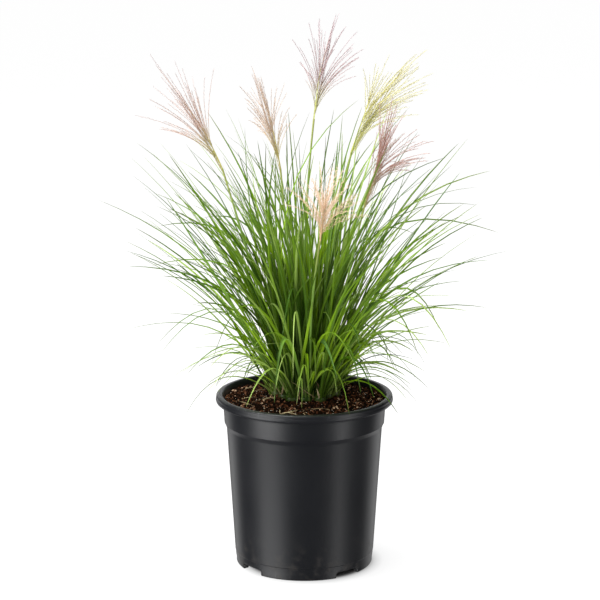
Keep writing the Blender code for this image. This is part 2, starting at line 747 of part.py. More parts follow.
def common_proposal(root, draw):
    """A blade drawn at random, which leans out from the clump."""
    from_middle = root[:2] - CLUMP_MIDDLE
    away = np.hypot(*from_middle) / (TUFT_PITCH * TUFT_RINGS + ROOT_SPREAD)

    def shape():
        """Its bearing, how far out and up its bend and its tip are, and how far its bend sways aside."""
        part = min(1.0, max(0.0, away + draw.normal(0, PLACE_SPREAD)))
        bearing = math.atan2(from_middle[1], from_middle[0])
        bearing += math.radians(draw.normal(0, mixed(BEARING_SPREAD[::-1], (1 - away) ** 2)))
        lean = mixed(LEAN, part) + draw.normal(0, LEAN_SPREAD)
        bend = max(LEAST_BEND, mixed(BEND, part) * draw.uniform(*BEND_FACTORS))
        length = mixed(LENGTH, part) * draw.uniform(*LENGTH_FACTORS)
        s = np.linspace(0, 1, CURVE_STEPS)
        angle = np.radians(lean + bend * s**BEND_GROWTH)
        out = length * np.cumsum(np.sin(angle)) / len(s)
        up = length * np.cumsum(np.cos(angle)) / len(s)
        middle = int(BEND_AT * (len(s) - 1))
        return bearing, (out[middle], up[middle]), (out[-1], up[-1]), draw.normal(0, SWAY_SPREAD) * length

    def propose(_):
        while True:
            bearing, bend, end, sway = shape()
            ahead = np.array((math.cos(bearing), math.sin(bearing), 0))
            sideways = np.array((-math.sin(bearing), math.cos(bearing), 0))
            tip = root + ahead * end[0] + UP * end[1]
            reach = math.hypot(tip[0], tip[1])
            if reach < LONGEST_REACH and LOWEST_TIP < tip[2] - TABLE_LEVEL < HIGHEST_TIP:
                break
        passes = root + ahead * bend[0] + UP * bend[1] + sideways * sway
        width = BLADE_WIDTH * draw.uniform(*WIDTH_FACTORS)
        return arc(root, passes, tip, ARC_POINTS), width, random_roll(draw)

    return propose


def assign_roots(places):
    """Gives each blade set by hand the free root that suits its lean best. Returns {(tuft, root): row}."""
    roots = {(tuft, i): root for tuft, place in enumerate(places) for i, root in enumerate(roots_of(place))}
    crown = TUFT_PITCH * TUFT_RINGS
    taken = {}
    for row in LEADING_BLADES:
        wanted = from_axis(row[0], min(crown, ROOT_SHARE * MM * row[1]), 0)[:2] + CLUMP_MIDDLE
        free = [key for key in roots if key not in taken]
        taken[min(free, key=lambda key: np.linalg.norm(roots[key][:2] - wanted))] = row
    return roots, taken


def make_tufts(room, finish):
    """The tufts, each a low crown with its blades fused to it. The blades set by hand are placed first."""
    places = tuft_places()
    names = [f"tuft_{number:02d}" for number in range(1, len(places) + 1)]
    roots, leading = assign_roots(places)
    draw = np.random.default_rng(SEED)
    shapes = {name: [] for name in names}
    for key, row in leading.items():
        name = names[key[0]]
        shapes[name].append(place_blade(room, name, leading_proposal(roots[key], row, draw)))
    others = [key for key in roots if key not in leading]
    for index in draw.permutation(len(others)):
        key = others[index]
        name = names[key[0]]
        shapes[name].append(place_blade(room, name, common_proposal(roots[key], draw)))
    tufts = []
    for name, place in zip(names, places):
        low, high = ground(place) - TUFT_DEPTH, ground(place) + TUFT_RISE
        crown = upright(name, TUFT_RADIUS, low, high, *place, CROWN_SIDES, TUFT_TAPER)
        crown.data.materials.append(finish)
        blades = [solid("blade", *shape) for shape in shapes[name] if shape]
        combine(crown, blades, "UNION")
        tufts.append(crown)
    return tufts


def main():
    clear_scene()
    stand = bpy.data.objects.new("potted_maiden_grass", None)
    bpy.context.scene.collection.objects.link(stand)
    room = Room()
    pot, soil = make_pot(), make_soil()
    for obj in (pot, soil):
        mesh = obj.data
        room.add(obj.name, [v.co for v in mesh.vertices], [tuple(p.vertices) for p in mesh.polygons])
    green = surface("culm_green", (0.20, 0.24, 0.06), 0.5)
    pieces = [pot, soil]
    for number, (head, tips) in enumerate(zip(FLOWER_HEADS, SPIKE_TIPS), 1):
        pieces.append(make_culm(number, head, green, room))
        pieces.append(make_head(number, head, tips, room))
    pieces += make_tufts(room, surface("blade_green", (0.10, 0.20, 0.035), 0.5))
    for piece in pieces:
        piece.parent = stand


main()
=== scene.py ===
# %% [markdown]
# # A maiden grass in its nursery pot
# The real thing is a clump of maiden grass as a garden centre sells it: some hundreds of narrow blades that rise
# from the potting mix and arch over, and six feathery flower heads on thin stems, in a black plastic pot. The
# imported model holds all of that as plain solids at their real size. This notebook gives each of them its finish,
# and puts fine meshes where the plain solids stand, blade for blade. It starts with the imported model.

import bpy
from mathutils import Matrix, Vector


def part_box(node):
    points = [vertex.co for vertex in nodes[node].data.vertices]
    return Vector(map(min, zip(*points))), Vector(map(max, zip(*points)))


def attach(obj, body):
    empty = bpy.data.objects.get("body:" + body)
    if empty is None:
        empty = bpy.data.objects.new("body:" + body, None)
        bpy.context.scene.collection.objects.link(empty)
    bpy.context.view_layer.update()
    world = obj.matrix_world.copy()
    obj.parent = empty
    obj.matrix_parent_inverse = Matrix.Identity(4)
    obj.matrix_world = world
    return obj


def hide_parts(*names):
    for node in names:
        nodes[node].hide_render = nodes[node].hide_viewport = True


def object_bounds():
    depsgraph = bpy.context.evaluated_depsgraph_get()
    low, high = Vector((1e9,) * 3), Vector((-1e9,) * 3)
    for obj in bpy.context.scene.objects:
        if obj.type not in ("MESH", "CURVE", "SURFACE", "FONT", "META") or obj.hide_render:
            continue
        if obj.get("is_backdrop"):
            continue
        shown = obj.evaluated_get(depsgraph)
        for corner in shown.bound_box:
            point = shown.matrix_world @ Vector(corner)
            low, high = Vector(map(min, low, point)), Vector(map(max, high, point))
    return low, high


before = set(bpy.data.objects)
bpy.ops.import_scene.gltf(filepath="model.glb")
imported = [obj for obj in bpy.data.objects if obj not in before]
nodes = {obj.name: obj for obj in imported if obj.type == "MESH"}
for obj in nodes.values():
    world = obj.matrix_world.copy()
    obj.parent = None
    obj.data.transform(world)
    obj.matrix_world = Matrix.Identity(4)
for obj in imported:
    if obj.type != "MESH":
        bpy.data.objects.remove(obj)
packed_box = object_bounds()
print(f"{len(nodes)} packed nodes, {tuple(round(1000 * (b - a)) for a, b in zip(*packed_box))} mm")

# %% Import the tools
import math

import bmesh
import bpy
import numpy as np
from mathutils import Vector

MM = 0.001
SEED = 7

# %% [markdown]
# ## The view
# A photograph of a product is taken from a little above, with a long lens, so that upright lines stay almost
# parallel. The camera stands nearly three metres away, and it is tilted down and never shifted.

# %% Place the camera
CAMERA_PLACE = (-0.0057, -2.762, 0.960)
CAMERA_DIP = 12.47
LENS = 132

bpy.ops.object.select_all(action="DESELECT")
bpy.ops.object.camera_add(location=CAMERA_PLACE, rotation=(math.radians(90 - CAMERA_DIP), 0, 0))
camera = bpy.context.object
camera.data.lens = LENS
bpy.context.scene.camera = camera
print(f"camera {-CAMERA_PLACE[1]:.2f} m in front, lens {LENS} mm")

# %% [markdown]
# ## The studio
# The object stands on a white table in front of white paper. Leaves look best in light that comes softly from all
# round and a little more from above, so that the heart of the clump stays dark. Black plastic shows mostly what it
# mirrors. So the paper is kept out of its reflections, two soft boxes at the sides draw the upright streaks that
# tell the eye that the pot is round and satin, and two panels further back light its edges.
#
# The camera looks down and the wall leans outwards as it rises, so the wall mirrors what lies below the table's
# top. The boxes reach down through the floor, which mirrors can't see and which casts no shadow, and two faint
# glows stand for the rest of the table. The strip at the back lights the flat top of the rim, and the scrim in
# front lights the leaves only.

# %% Build the studio
FLOOR_SIZE = 40.0
PAPER = 1.0
FILL = 0.16
# Each soft box: its place, its width and height, and its power in watts
SOFT_BOXES = {
    "left_soft_box": ((-1.93, -1.40, 0.30), (1.80, 3.80), 86),
    "right_soft_box": ((1.98, -1.34, 0.30), (0.70, 3.80), 30),
    "left_panel": ((-1.40, 2.00, -0.60), (1.10, 2.20), 7.5),
    "right_panel": ((1.48, 1.90, -0.60), (1.40, 2.20), 8.5),
    "back_strip": ((0.00, 2.40, 0.78), (2.40, 0.80), 8.5),
    "top_soft_box": ((-0.70, 0.10, 2.50), (1.60, 1.20), 130),
    "front_scrim": ((-0.60, -3.20, 1.50), (2.20, 2.20), 42),
    "left_table_glow": ((-1.40, 0.10, -2.00), (1.80, 1.80), 3.2),
    "right_table_glow": ((1.40, 0.10, -2.00), (1.80, 1.80), 2.4),
}
AIM = Vector((0, 0, 0.25))

# The paper is white to the camera, and throws back only a part of that light on the object
world = bpy.data.worlds.new("white_studio")
world.use_nodes = True
tree = world.node_tree
seen = tree.nodes.new("ShaderNodeLightPath").outputs["Is Camera Ray"]
strength = tree.nodes.new("ShaderNodeMapRange")
strength.inputs["To Min"].default_value = FILL
strength.inputs["To Max"].default_value = PAPER
tree.links.new(seen, strength.inputs["Value"])
tree.links.new(strength.outputs["Result"], tree.nodes["Background"].inputs["Strength"])
tree.nodes["Background"].inputs["Color"].default_value = (1, 1, 1, 1)
world.cycles_visibility.glossy = False
bpy.context.scene.world = world

# A glow shows only in reflections, and a scrim never does
for name, (place, size, power) in SOFT_BOXES.items():
    bpy.ops.object.light_add(type="AREA", location=place)
    light = bpy.context.object
    light.name = light.data.name = name
    light.rotation_euler = (AIM - light.location).to_track_quat("-Z", "Y").to_euler()
    light.visible_camera = False
    light.visible_diffuse = "glow" not in name
    light.visible_glossy = "scrim" not in name
    light.data.shape = "RECTANGLE"
    light.data.size, light.data.size_y = size
    light.data.energy = power

bpy.ops.mesh.primitive_plane_add(size=FLOOR_SIZE)
floor = bpy.context.object
floor.name = "floor"
floor.visible_glossy = floor.visible_shadow = False
floor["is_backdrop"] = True
bpy.context.scene.view_settings.view_transform = "Standard"
print(len(SOFT_BOXES), "soft boxes")

# %% [markdown]
# ## Shader maths
# A finish is worked out by nodes, and long chains of nodes are hard to read as code. This small class wraps the
# socket that a number comes out of, so that Python's own plus, minus and times add the Math nodes.

# %% Wrap a socket
class Wire:
    """A number or colour that varies over a surface. Python's arithmetic on it adds Math nodes."""

    def __init__(self, socket):
        self.socket = socket

    def node(self, kind, settings=(), inputs=(), output=0):
        """Any other node: its kind, its settings, and values or wires for its sockets."""
        made = self.socket.id_data.nodes.new("ShaderNode" + kind)
        for name, value in dict(settings).items():
            if name == "stops":
                while len(made.color_ramp.elements) < len(value):
                    made.color_ramp.elements.new(1)
                for element, (position, colour) in zip(made.color_ramp.elements, value):
                    element.position, element.color = position, colour
            else:
                setattr(made, name, value)
        for name, value in dict(inputs).items():
            if isinstance(value, Wire):
                made.id_data.links.new(value.socket, made.inputs[name])
            else:
                made.inputs[name].default_value = value
        return Wire(made.outputs[output])

    def maths(self, operation, *values):
        return self.node("Math", {"operation": operation}, enumerate(values))

    def __add__(self, other):
        return self.maths("ADD", self, other)

    def __sub__(self, other):
        return self.maths("SUBTRACT", self, other)

    def __rsub__(self, other):
        return self.maths("SUBTRACT", other, self)

    def __mul__(self, other):
        return self.maths("MULTIPLY", self, other)

    def __truediv__(self, other):
        return self.maths("DIVIDE", self, other)

    def __rtruediv__(self, other):
        return self.maths("DIVIDE", other, self)

    def __gt__(self, other):
        return self.maths("GREATER_THAN", self, other)

    def __abs__(self):
        return self.maths("ABSOLUTE", self)

    __radd__ = __add__
    __rmul__ = __mul__


# %% Name the nodes that most finishes use
def colour(red, green, blue):
    return red, green, blue, 1.0


def new_finish(name, constants):
    """A material with these fixed values on its shader, and a wire that carries the place on the object."""
    material = bpy.data.materials.new(name)
    material.use_nodes = True
    shader = material.node_tree.nodes["Principled BSDF"]
    for socket, value in constants.items():
        shader.inputs[socket].default_value = value
    return material, Wire(material.node_tree.nodes.new("ShaderNodeTexCoord").outputs["Object"])


def wire_up(material, wires):
    """Links each wire to its socket on the material's shader."""
    shader = material.node_tree.nodes["Principled BSDF"]
    for socket, wire in wires.items():
        material.node_tree.links.new(wire.socket, shader.inputs[socket])
    return material


def mixed(share, *pair):
    """The first colour where the share is 0, the second where it is 1. Either may be a wire."""
    first, second = (end if isinstance(end, Wire) else colour(*end) for end in pair)
    return share.node("Mix", {"data_type": "RGBA"}, {0: share, 6: first, 7: second}, output=2)


def noise(place, scale, detail=2.0, stretch=(1, 1, 1)):
    spread = place.node("Mapping", (), {"Vector": place, "Scale": stretch})
    return place.node("TexNoise", (), {"Vector": spread, "Scale": scale, "Detail": detail})


def ramp(value, *stops):
    """Colours along a value. Each stop is its position and its red, green and blue."""
    return value.node("ValToRGB", {"stops": [(at, colour(*paint)) for at, *paint in stops]}, {"Fac": value})


def span(value, low, high):
    """0 up to low, 1 from high on, and smooth between them."""
    settings = {"interpolation_type": "SMOOTHSTEP"}
    return value.node("MapRange", settings, {"Value": value, "From Min": low, "From Max": high})


def bump(height, distance, strength=1.0):
    return height.node("Bump", (), {"Height": height, "Distance": distance, "Strength": strength})


def attribute(place, name):
    return place.node("Attribute", {"attribute_name": name}, output="Fac")


def split(place, uv_map=None):
    """The three parts of a place, or of the place on the mesh's own map."""
    if uv_map:
        place = place.node("UVMap", {"uv_map": uv_map})
    return [place.node("SeparateXYZ", (), {"Vector": place}, output=i) for i in range(3)]


# %% [markdown]
# ## The floor's finish
# A plain matt white. It glows as a brightly lit table does, so that the pot leaves only a faint shadow. The glow
# fades close to the pot and goes out under it: that is the contact shadow, and it keeps the slots in the foot dark.

# %% Paint the floor
FLOOR_GLOW = 0.975
SHADOW_MIDDLE = (0.006, -0.003, 0.0)
# How much of the glow is left at each distance from the shadow's middle
GLOW_STEPS = (
    (0.0765, 0.0), (0.0795, 0.15), (0.0835, 0.56), (0.0880, 0.72), (0.0930, 0.83), (0.0980, 0.92), (0.1100, 0.96),
    (0.1500, 1.0),
)

floor_white, place = new_finish("floor_white", {
    "Base Color": colour(0.10, 0.10, 0.10), "Roughness": 0.9, "Specular IOR Level": 0.0,
    "Emission Strength": FLOOR_GLOW,
})
away = place.node("VectorMath", {"operation": "DISTANCE"}, {0: place, 1: SHADOW_MIDDLE}, output="Value")
wire_up(floor_white, {"Emission Color": ramp(away, *((reach, left, left, left) for reach, left in GLOW_STEPS))})
floor.data.materials.append(floor_white)
print(f"the floor glows at full strength from {GLOW_STEPS[-1][0]} m on")

# %% [markdown]
# ## Modelling by hand
# Most pieces here are drawn out of a ring, like clay on a wheel or wire through a die: a ring of corners is
# extruded a step, scaled to its new size, and so on. These helpers do that with the operators that a modeller
# would use in edit mode. Corners are picked in code, by where they are.

# %% Draw a shape out of a ring
def start_ring(sides, radius, height):
    """Adds a ring and goes into edit mode with all of it selected."""
    bpy.ops.object.select_all(action="DESELECT")
    bpy.ops.mesh.primitive_circle_add(vertices=sides, radius=radius, location=(0, 0, height))
    bpy.ops.object.mode_set(mode="EDIT")
    bpy.ops.mesh.select_all(action="SELECT")


def draw_out(rows):
    """Extrudes the selected ring from each (radius, height) to the next. A radius of nothing makes a point."""
    for (radius, height), (next_radius, next_height) in zip(rows, rows[1:]):
        bpy.ops.mesh.extrude_region_move(TRANSFORM_OT_translate={"value": (0, 0, next_height - height)})
        if not next_radius:
            bpy.ops.mesh.merge(type="CENTER")
        elif next_radius != radius:
            ratio = next_radius / radius
            bpy.ops.transform.resize(value=(ratio, ratio, 1), center_override=(0, 0, next_height))


def pick(rule):
    """Selects the corners for which the rule holds, in edit mode."""
    shape = bmesh.from_edit_mesh(bpy.context.object.data)
    for corner in shape.verts:
        corner.select = rule(bpy.context.object.matrix_world @ corner.co)
    shape.select_flush_mode()
    bmesh.update_edit_mesh(bpy.context.object.data)


def close_up(name):
    """Fills the open ends, turns the faces outwards and leaves the object at the origin."""
    bpy.ops.mesh.select_all(action="SELECT")
    bpy.ops.mesh.fill_holes(sides=0)
    bpy.ops.mesh.normals_make_consistent(inside=False)
    bpy.ops.object.mode_set(mode="OBJECT")
    bpy.ops.object.transform_apply(location=True, rotation=True, scale=True)
    made = bpy.context.object
    made.name = made.data.name = name
    return made


# %% Name the steps that finish a piece
def activate(obj):
    """Selects this object alone."""
    bpy.ops.object.select_all(action="DESELECT")
    obj.select_set(True)
    bpy.context.view_layer.objects.active = obj


def apply_modifier(obj, kind, settings):
    """Adds a modifier with these settings and applies it."""
    modifier = obj.modifiers.new(kind.lower(), kind)
    for setting, value in settings.items():
        setattr(modifier, setting, value)
    activate(obj)
    bpy.ops.object.modifier_apply(modifier=modifier.name)


def dress(obj, finish, slot, replaced=()):
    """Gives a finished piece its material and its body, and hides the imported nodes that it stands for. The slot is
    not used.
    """
    obj.data.materials.clear()
    obj.data.materials.append(finish)
    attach(obj, "root")
    if replaced:
        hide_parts(*replaced)
    print(f"{obj.name}: {len(obj.data.polygons)} faces")


# %% [markdown]
# ## The pot
# A nursery pot is blown or moulded from black plastic in one piece: a rolled rim for the fingers, a band under it,
# a small step so that pots nest without sticking, a wall that tapers, and a foot that stands on four short arcs.
# Extruding a ring keeps every ring level, so the wall's section is a plain list of radii and heights, in the same
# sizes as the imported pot.

# %% Model the pot
POT_SIDES = 96
RIM_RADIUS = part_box("pot")[1].x
POT_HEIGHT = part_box("pot")[1].z
MOUTH_RADIUS = 0.1067
LIP_DEPTH = 0.0100
BAND_RADIUS = 0.1052
BAND_TOP = 0.2110
BAND_FOOT_RADIUS = 0.1038
BAND_FOOT = 0.1880
STEP_RADIUS = 0.1010
STEP_HEIGHT = 0.1832
FLARE_HEIGHT = 0.2140
WALL_FOOT = (0.0904, 0.0130)
FOOT_RADIUS = 0.0880
FOOT_WIDTH = 0.0070
FLOOR_UNDERSIDE = 0.0085
POT_FLOOR = 0.0110
WALL = 0.0016
FLOOR_FILLET = 0.0050
SLOT_BEARING = 39.25
SLOT = (0.0300, 0.0365, 0.0160)
SLOT_BEVEL = 0.0028
# A drain hole's radius, its distance from the axis and the length of its cutter
DRAIN = (0.0060, 0.0660, 0.0100)
EDGE_BEVEL = 0.00035
SHARP_EDGE = 0.45


def rings(radius, height, *offsets):
    """Rings that lie so far outwards and upwards from a radius and a height."""
    return [(radius + out, height + up) for out, up in offsets]


inside_foot = WALL_FOOT[0] - WALL
lip_foot = POT_HEIGHT - LIP_DEPTH
pot_rows = [
    *rings(inside_foot, POT_FLOOR, (-FLOOR_FILLET, 0), (-0.3 * FLOOR_FILLET, 0.3 * FLOOR_FILLET), (0, FLOOR_FILLET)),
    (STEP_RADIUS - WALL, STEP_HEIGHT),
    (BAND_FOOT_RADIUS - WALL, BAND_FOOT),
    (BAND_RADIUS - WALL, FLARE_HEIGHT),
    *rings(
        MOUTH_RADIUS, POT_HEIGHT,
        (-0.0016, -0.0045), (-0.0007, -0.0022), (0, -0.0009), (0.0010, -0.0001), (0.0030, 0),
    ),
    *rings(
        RIM_RADIUS, POT_HEIGHT,
        (-0.0030, -0.0003), (-0.0015, -0.0010), (-0.0007, -0.0022), (-0.0006, -0.0036), (-0.0008, -0.0046),
        (-0.0001, -0.0058), (0, -0.0074),
    ),
    *rings(RIM_RADIUS, lip_foot, (-0.0004, 0.0010), (-0.0014, 0.0001), (-0.0032, 0)),
    *rings(BAND_RADIUS, lip_foot, (0.0016, -0.0010), (0.0004, -0.0026)),
    (BAND_RADIUS, BAND_TOP),
    *rings(BAND_FOOT_RADIUS, BAND_FOOT, (0.0001, 0.0010), (-0.0006, 0)),
    *rings(STEP_RADIUS, STEP_HEIGHT, (0.0006, 0.0006), (0, -0.0008)),
    *rings(*WALL_FOOT, (0.0003, 0.0040), (-0.0002, 0.0032), (-0.0005, -0.0020)),
    (WALL_FOOT[0] - 0.0014, 0.0050),
    (FOOT_RADIUS + 0.0010, 0.0012),
    (FOOT_RADIUS, 0),
    (FOOT_RADIUS - FOOT_WIDTH, 0),
    (FOOT_RADIUS - FOOT_WIDTH - 0.0010, FLOOR_UNDERSIDE),
]
start_ring(POT_SIDES, *pot_rows[0])
draw_out(pot_rows)
pot = close_up("nursery_pot")
print(f"{len(pot_rows)} rings of {POT_SIDES} corners")

# %% [markdown]
# The slots in the foot and the holes in the floor are cut with Boolean modifiers. A cutter is a modelled piece
# too: a box whose upper edges are beveled, because a mould leaves no sharp inner corner.

# %% Cut the slots and the drain holes
def cut(obj, cutter):
    apply_modifier(obj, "BOOLEAN", {"operation": "DIFFERENCE", "object": cutter})
    bpy.data.objects.remove(cutter)


for quarter in range(4):
    bearing = math.radians(SLOT_BEARING + 90 * quarter)
    out = Vector((math.cos(bearing), math.sin(bearing), 0))
    bpy.ops.mesh.primitive_cube_add(size=1, location=out * (FOOT_RADIUS - FOOT_WIDTH / 2), rotation=(0, 0, bearing))
    slot_cutter = bpy.context.object
    slot_cutter.scale = SLOT
    bpy.ops.object.transform_apply(location=False, rotation=False)
    apply_modifier(slot_cutter, "BEVEL", {"width": SLOT_BEVEL, "segments": 3, "limit_method": "ANGLE"})
    cut(pot, slot_cutter)
    bpy.ops.mesh.primitive_cylinder_add(vertices=24, radius=DRAIN[0], depth=DRAIN[2], location=out * DRAIN[1])
    drain_cutter = bpy.context.object
    drain_cutter.location.z = POT_FLOOR
    cut(pot, drain_cutter)

apply_modifier(pot, "BEVEL", {"width": EDGE_BEVEL, "segments": 2, "limit_method": "ANGLE", "angle_limit": SHARP_EDGE})
bpy.ops.object.shade_smooth_by_angle(angle=math.radians(38))
print(len(pot.data.polygons), "faces with four slots and four drain holes")

# %% [markdown]
# Black plastic is never quite black or even. It is a dark grey with a faint grain from the mould, patches that are
# more polished, fine rubs on the rim and the foot, where pots touch each other, and some dust low down. Each of
# those is one term of the roughness or of the colour.

# %% Paint the pot
pot_plastic, place = new_finish("pot_plastic", {"Specular IOR Level": 0.50})
clouds = noise(place, 14, 4)
streaks = noise(place, 60, 3, stretch=(1, 1, 0.06))
scratches = span(noise(place, 240, 2, stretch=(1, 1, 0.12)), 0.66, 0.74)
height = split(place)[2]
worn = span(height, POT_HEIGHT - 0.009, POT_HEIGHT - 0.001) + (1 - span(height, 0.0, 0.008))
dust = (1 - span(height, 0.0, 0.07)) * span(noise(place, 90, 5), 0.45, 0.8)
black = mixed(clouds, (0.0045, 0.005, 0.0065), (0.0080, 0.0085, 0.0105))
black = mixed(scratches * worn * 0.5, black, (0.09, 0.09, 0.095))
black = mixed(dust * 0.22, black, (0.10, 0.085, 0.07))
wire_up(pot_plastic, {
    "Base Color": black,
    "Roughness": 0.32 + 0.08 * clouds + 0.05 * streaks + 0.12 * dust - 0.05 * scratches,
    "Normal": bump(noise(place, 1400, 2) + 3 * streaks, 0.00002, 0.6),
})
dress(pot, pot_plastic, "black_plastic", ["pot"])

# %% [markdown]
# ## The potting mix
# The mix is a bark compost: dark, crumbly, uneven, a finger's width below the rim. Under the crumbs it is one
# body that fills the pot. Its top starts as a flat ring that is inset again and again, and a Displace modifier
# then lifts and sinks it.

# %% Model the body of the mix
SOIL_HEIGHT = 0.2190
SOIL_MOUND = 0.0040
SOIL_GAP = 0.0004
SOIL_SIDES = 72
SOIL_INSETS = 11
SHORE = (0.1043, 0.2182)
UNDER_CRUMBS = 0.0015
# The lumps' size and how high they are, for the large and the small ones
LUMPS = ((0.030, 0.0030), (0.006, 0.0018))

soil_edge = BAND_RADIUS - WALL - SOIL_GAP


def ground(x, y):
    """The height of the mix at a place, but for its lumps."""
    return SOIL_HEIGHT + SOIL_MOUND * (1 - math.hypot(x, y) / soil_edge)


soil_rows = [(radius - SOIL_GAP, height + SOIL_GAP) for radius, height in (pot_rows[0], *pot_rows[2:5])]
soil_rows += [(soil_edge, FLARE_HEIGHT), SHORE]
start_ring(SOIL_SIDES, *soil_rows[0])
draw_out(soil_rows)
potting_mix = close_up("potting_mix")
bpy.ops.object.mode_set(mode="EDIT")
pick(lambda corner: corner.z > SHORE[1] - MM)
for _ in range(SOIL_INSETS):
    bpy.ops.mesh.inset(thickness=SHORE[0] / (SOIL_INSETS + 1))
bpy.ops.mesh.poke()
bpy.ops.mesh.select_all(action="DESELECT")
pick(lambda corner: corner.z > SHORE[1] - MM and corner.xy.length < SHORE[0] - MM)
bpy.ops.mesh.subdivide(number_cuts=1)
bpy.ops.object.mode_set(mode="OBJECT")

top = potting_mix.vertex_groups.new(name="top")
for corner in potting_mix.data.vertices:
    if corner.co.z > SHORE[1] - MM:
        corner.co.z = ground(*corner.co.xy) - UNDER_CRUMBS
        top.add([corner.index], 1.0, "REPLACE")
for size, strength in LUMPS:
    lumps = bpy.data.textures.new("lumps", "CLOUDS")
    lumps.noise_scale = size
    apply_modifier(potting_mix, "DISPLACE", {
        "texture": lumps, "strength": strength, "mid_level": 0.5, "vertex_group": "top", "direction": "Z",
        "texture_coords": "LOCAL",
    })
bpy.ops.object.shade_smooth_by_angle(angle=math.radians(60))
print(f"the mix is {len(potting_mix.data.polygons)} faces, {POT_HEIGHT - SOIL_HEIGHT:.3f} m below the rim")

# %% [markdown]
# ## Copies of a modelled shape
# Crumbs, blades and spikelets come in hundreds. Each is modelled once, and its mesh is then written again for
# every copy into one large mesh. That is what the Array modifier does, but here each copy may have its own place,
# size, bend and tone. The tone is a number from 0 to 1 that the finish can read.

# %% Keep a master, and gather its copies
def read(items, name, width):
    """One row of this many numbers for each item of a mesh."""
    values = np.empty(len(items) * width)
    items.foreach_get(name, values)
    return values.reshape(-1, width)


class Master:
    """The arrays of a shape that is modelled once. The object itself is removed."""

    def __init__(self, obj, uv=None):
        mesh = obj.data
        self.points = read(mesh.vertices, "co", 3)
        self.corners = read(mesh.loops, "vertex_index", 1)[:, 0].astype(int)
        self.sizes = read(mesh.polygons, "loop_total", 1)[:, 0].astype(int)
        self.uv = np.zeros((len(self.corners), 2)) if uv is None else uv(mesh, self)
        bpy.data.objects.remove(obj)


class Crowd:
    """Copies of masters that become one mesh."""

    def __init__(self):
        self.copies = []

    def add(self, master, points, **values):
        self.copies.append((master, points, values))

    def build(self, name, sharp):
        masters, points, values = zip(*self.copies)
        counts = [len(part) for part in points]
        starts = np.cumsum([0, *counts[:-1]])
        sizes = np.concatenate([master.sizes for master in masters])
        corners = np.concatenate([master.corners + start for master, start in zip(masters, starts)])
        mesh = bpy.data.meshes.new(name)
        mesh.vertices.add(sum(counts))
        mesh.vertices.foreach_set("co", np.concatenate(points).ravel())
        mesh.loops.add(len(corners))
        mesh.loops.foreach_set("vertex_index", corners)
        mesh.polygons.add(len(sizes))
        mesh.polygons.foreach_set("loop_start", np.cumsum([0, *sizes[:-1]]))
        mesh.update(calc_edges=True)
        mesh.uv_layers.new(name="grain").data.foreach_set("uv", np.concatenate([m.uv for m in masters]).ravel())
        for key in values[0]:
            whole = [np.broadcast_to(value[key], count) for value, count in zip(values, counts)]
            mesh.attributes.new(key, "FLOAT", "POINT").data.foreach_set("value", np.concatenate(whole))
        obj = bpy.data.objects.new(name, mesh)
        bpy.context.scene.collection.objects.link(obj)
        activate(obj)
        bpy.ops.object.shade_smooth_by_angle(angle=math.radians(sharp))
        return obj


def tumbled(draw):
    """A random turn, as three axes."""
    axes, upper = np.linalg.qr(draw.normal(size=(3, 3)))
    axes = axes * np.sign(np.diag(upper))
    return axes * np.linalg.det(axes)


# %% [markdown]
# ## Crumbs of bark
# Seen close, the surface is crumbs and splinters of bark from one to five millimetres, almost black in the gaps and
# reddish brown where the light falls, with a pale grain of perlite here and there. A cube that is subdivided once
# and jostled makes a crumb, and a flatter one a splinter.

# %% Model the crumbs
JOSTLE = (0.78, 1.22)


def crumb_master(name, proportions, seed):
    bpy.ops.object.select_all(action="DESELECT")
    bpy.ops.mesh.primitive_cube_add(size=1)
    bpy.ops.object.mode_set(mode="EDIT")
    bpy.ops.mesh.select_all(action="SELECT")
    bpy.ops.mesh.subdivide(number_cuts=1, smoothness=0.6)
    bpy.ops.transform.resize(value=proportions)
    bpy.ops.object.mode_set(mode="OBJECT")
    draw = np.random.default_rng(seed)
    for corner in bpy.context.object.data.vertices:
        corner.co *= draw.uniform(*JOSTLE)
    bpy.context.object.name = name
    return Master(bpy.context.object)


crumbs = [crumb_master("crumb", (1.0, 0.8, 0.65), SEED + i) for i in range(3)]
splinters = [crumb_master("splinter", (1.5, 0.5, 0.28), SEED + 10 + i) for i in range(3)]
bpy.ops.mesh.primitive_ico_sphere_add(subdivisions=1, radius=0.5)
grain = Master(bpy.context.object)
print(len(crumbs[0].sizes), "faces a crumb,", len(grain.sizes), "faces a grain")

# %% Scatter the crumbs
CRUMBS = 3500
SPLINTERS = 500
GRAINS = 230
CRUMB_SIZE = (0.0009, 0.0035)
SPLINTER_SIZE = (0.0020, 0.0050)
GRAIN_SIZE = (0.0007, 0.0020)
SIZE_SPREAD = (1.4, 3.0)
SUNK = 0.22
# Crumbs under the first size lie up to the second higher, on top of others
LIFTED = (0.002, 0.0008)
# How much of its lift a crumb keeps when it has settled
SETTLED = 0.3
SHORE_GAP = 0.0018
HIGH_ABOVE = 0.30


def ground_at(x, y):
    """The height of the mix at a place, with its lumps."""
    return potting_mix.ray_cast((x, y, HIGH_ABOVE), (0, 0, -1))[1].z


def scatter(crowd, masters, count, sizes, draw):
    """Copies at random over the mix, each sunk a little into it."""
    for _ in range(count):
        bearing, away = draw.uniform(0, math.tau), (SHORE[0] - SHORE_GAP) * math.sqrt(draw.uniform())
        x, y = away * math.cos(bearing), away * math.sin(bearing)
        surface = ground_at(x, y)
        size = sizes[0] + (sizes[1] - sizes[0]) * draw.beta(*SIZE_SPREAD)
        points = masters[draw.integers(len(masters))].points
        turned = size * points @ tumbled(draw).T
        lift = size * (0.5 - SUNK) + (LIFTED[1] if size < LIFTED[0] else 0.0) * draw.uniform()
        crowd.add(masters[0], turned + (x, y, surface + SETTLED * lift), tone=draw.uniform())


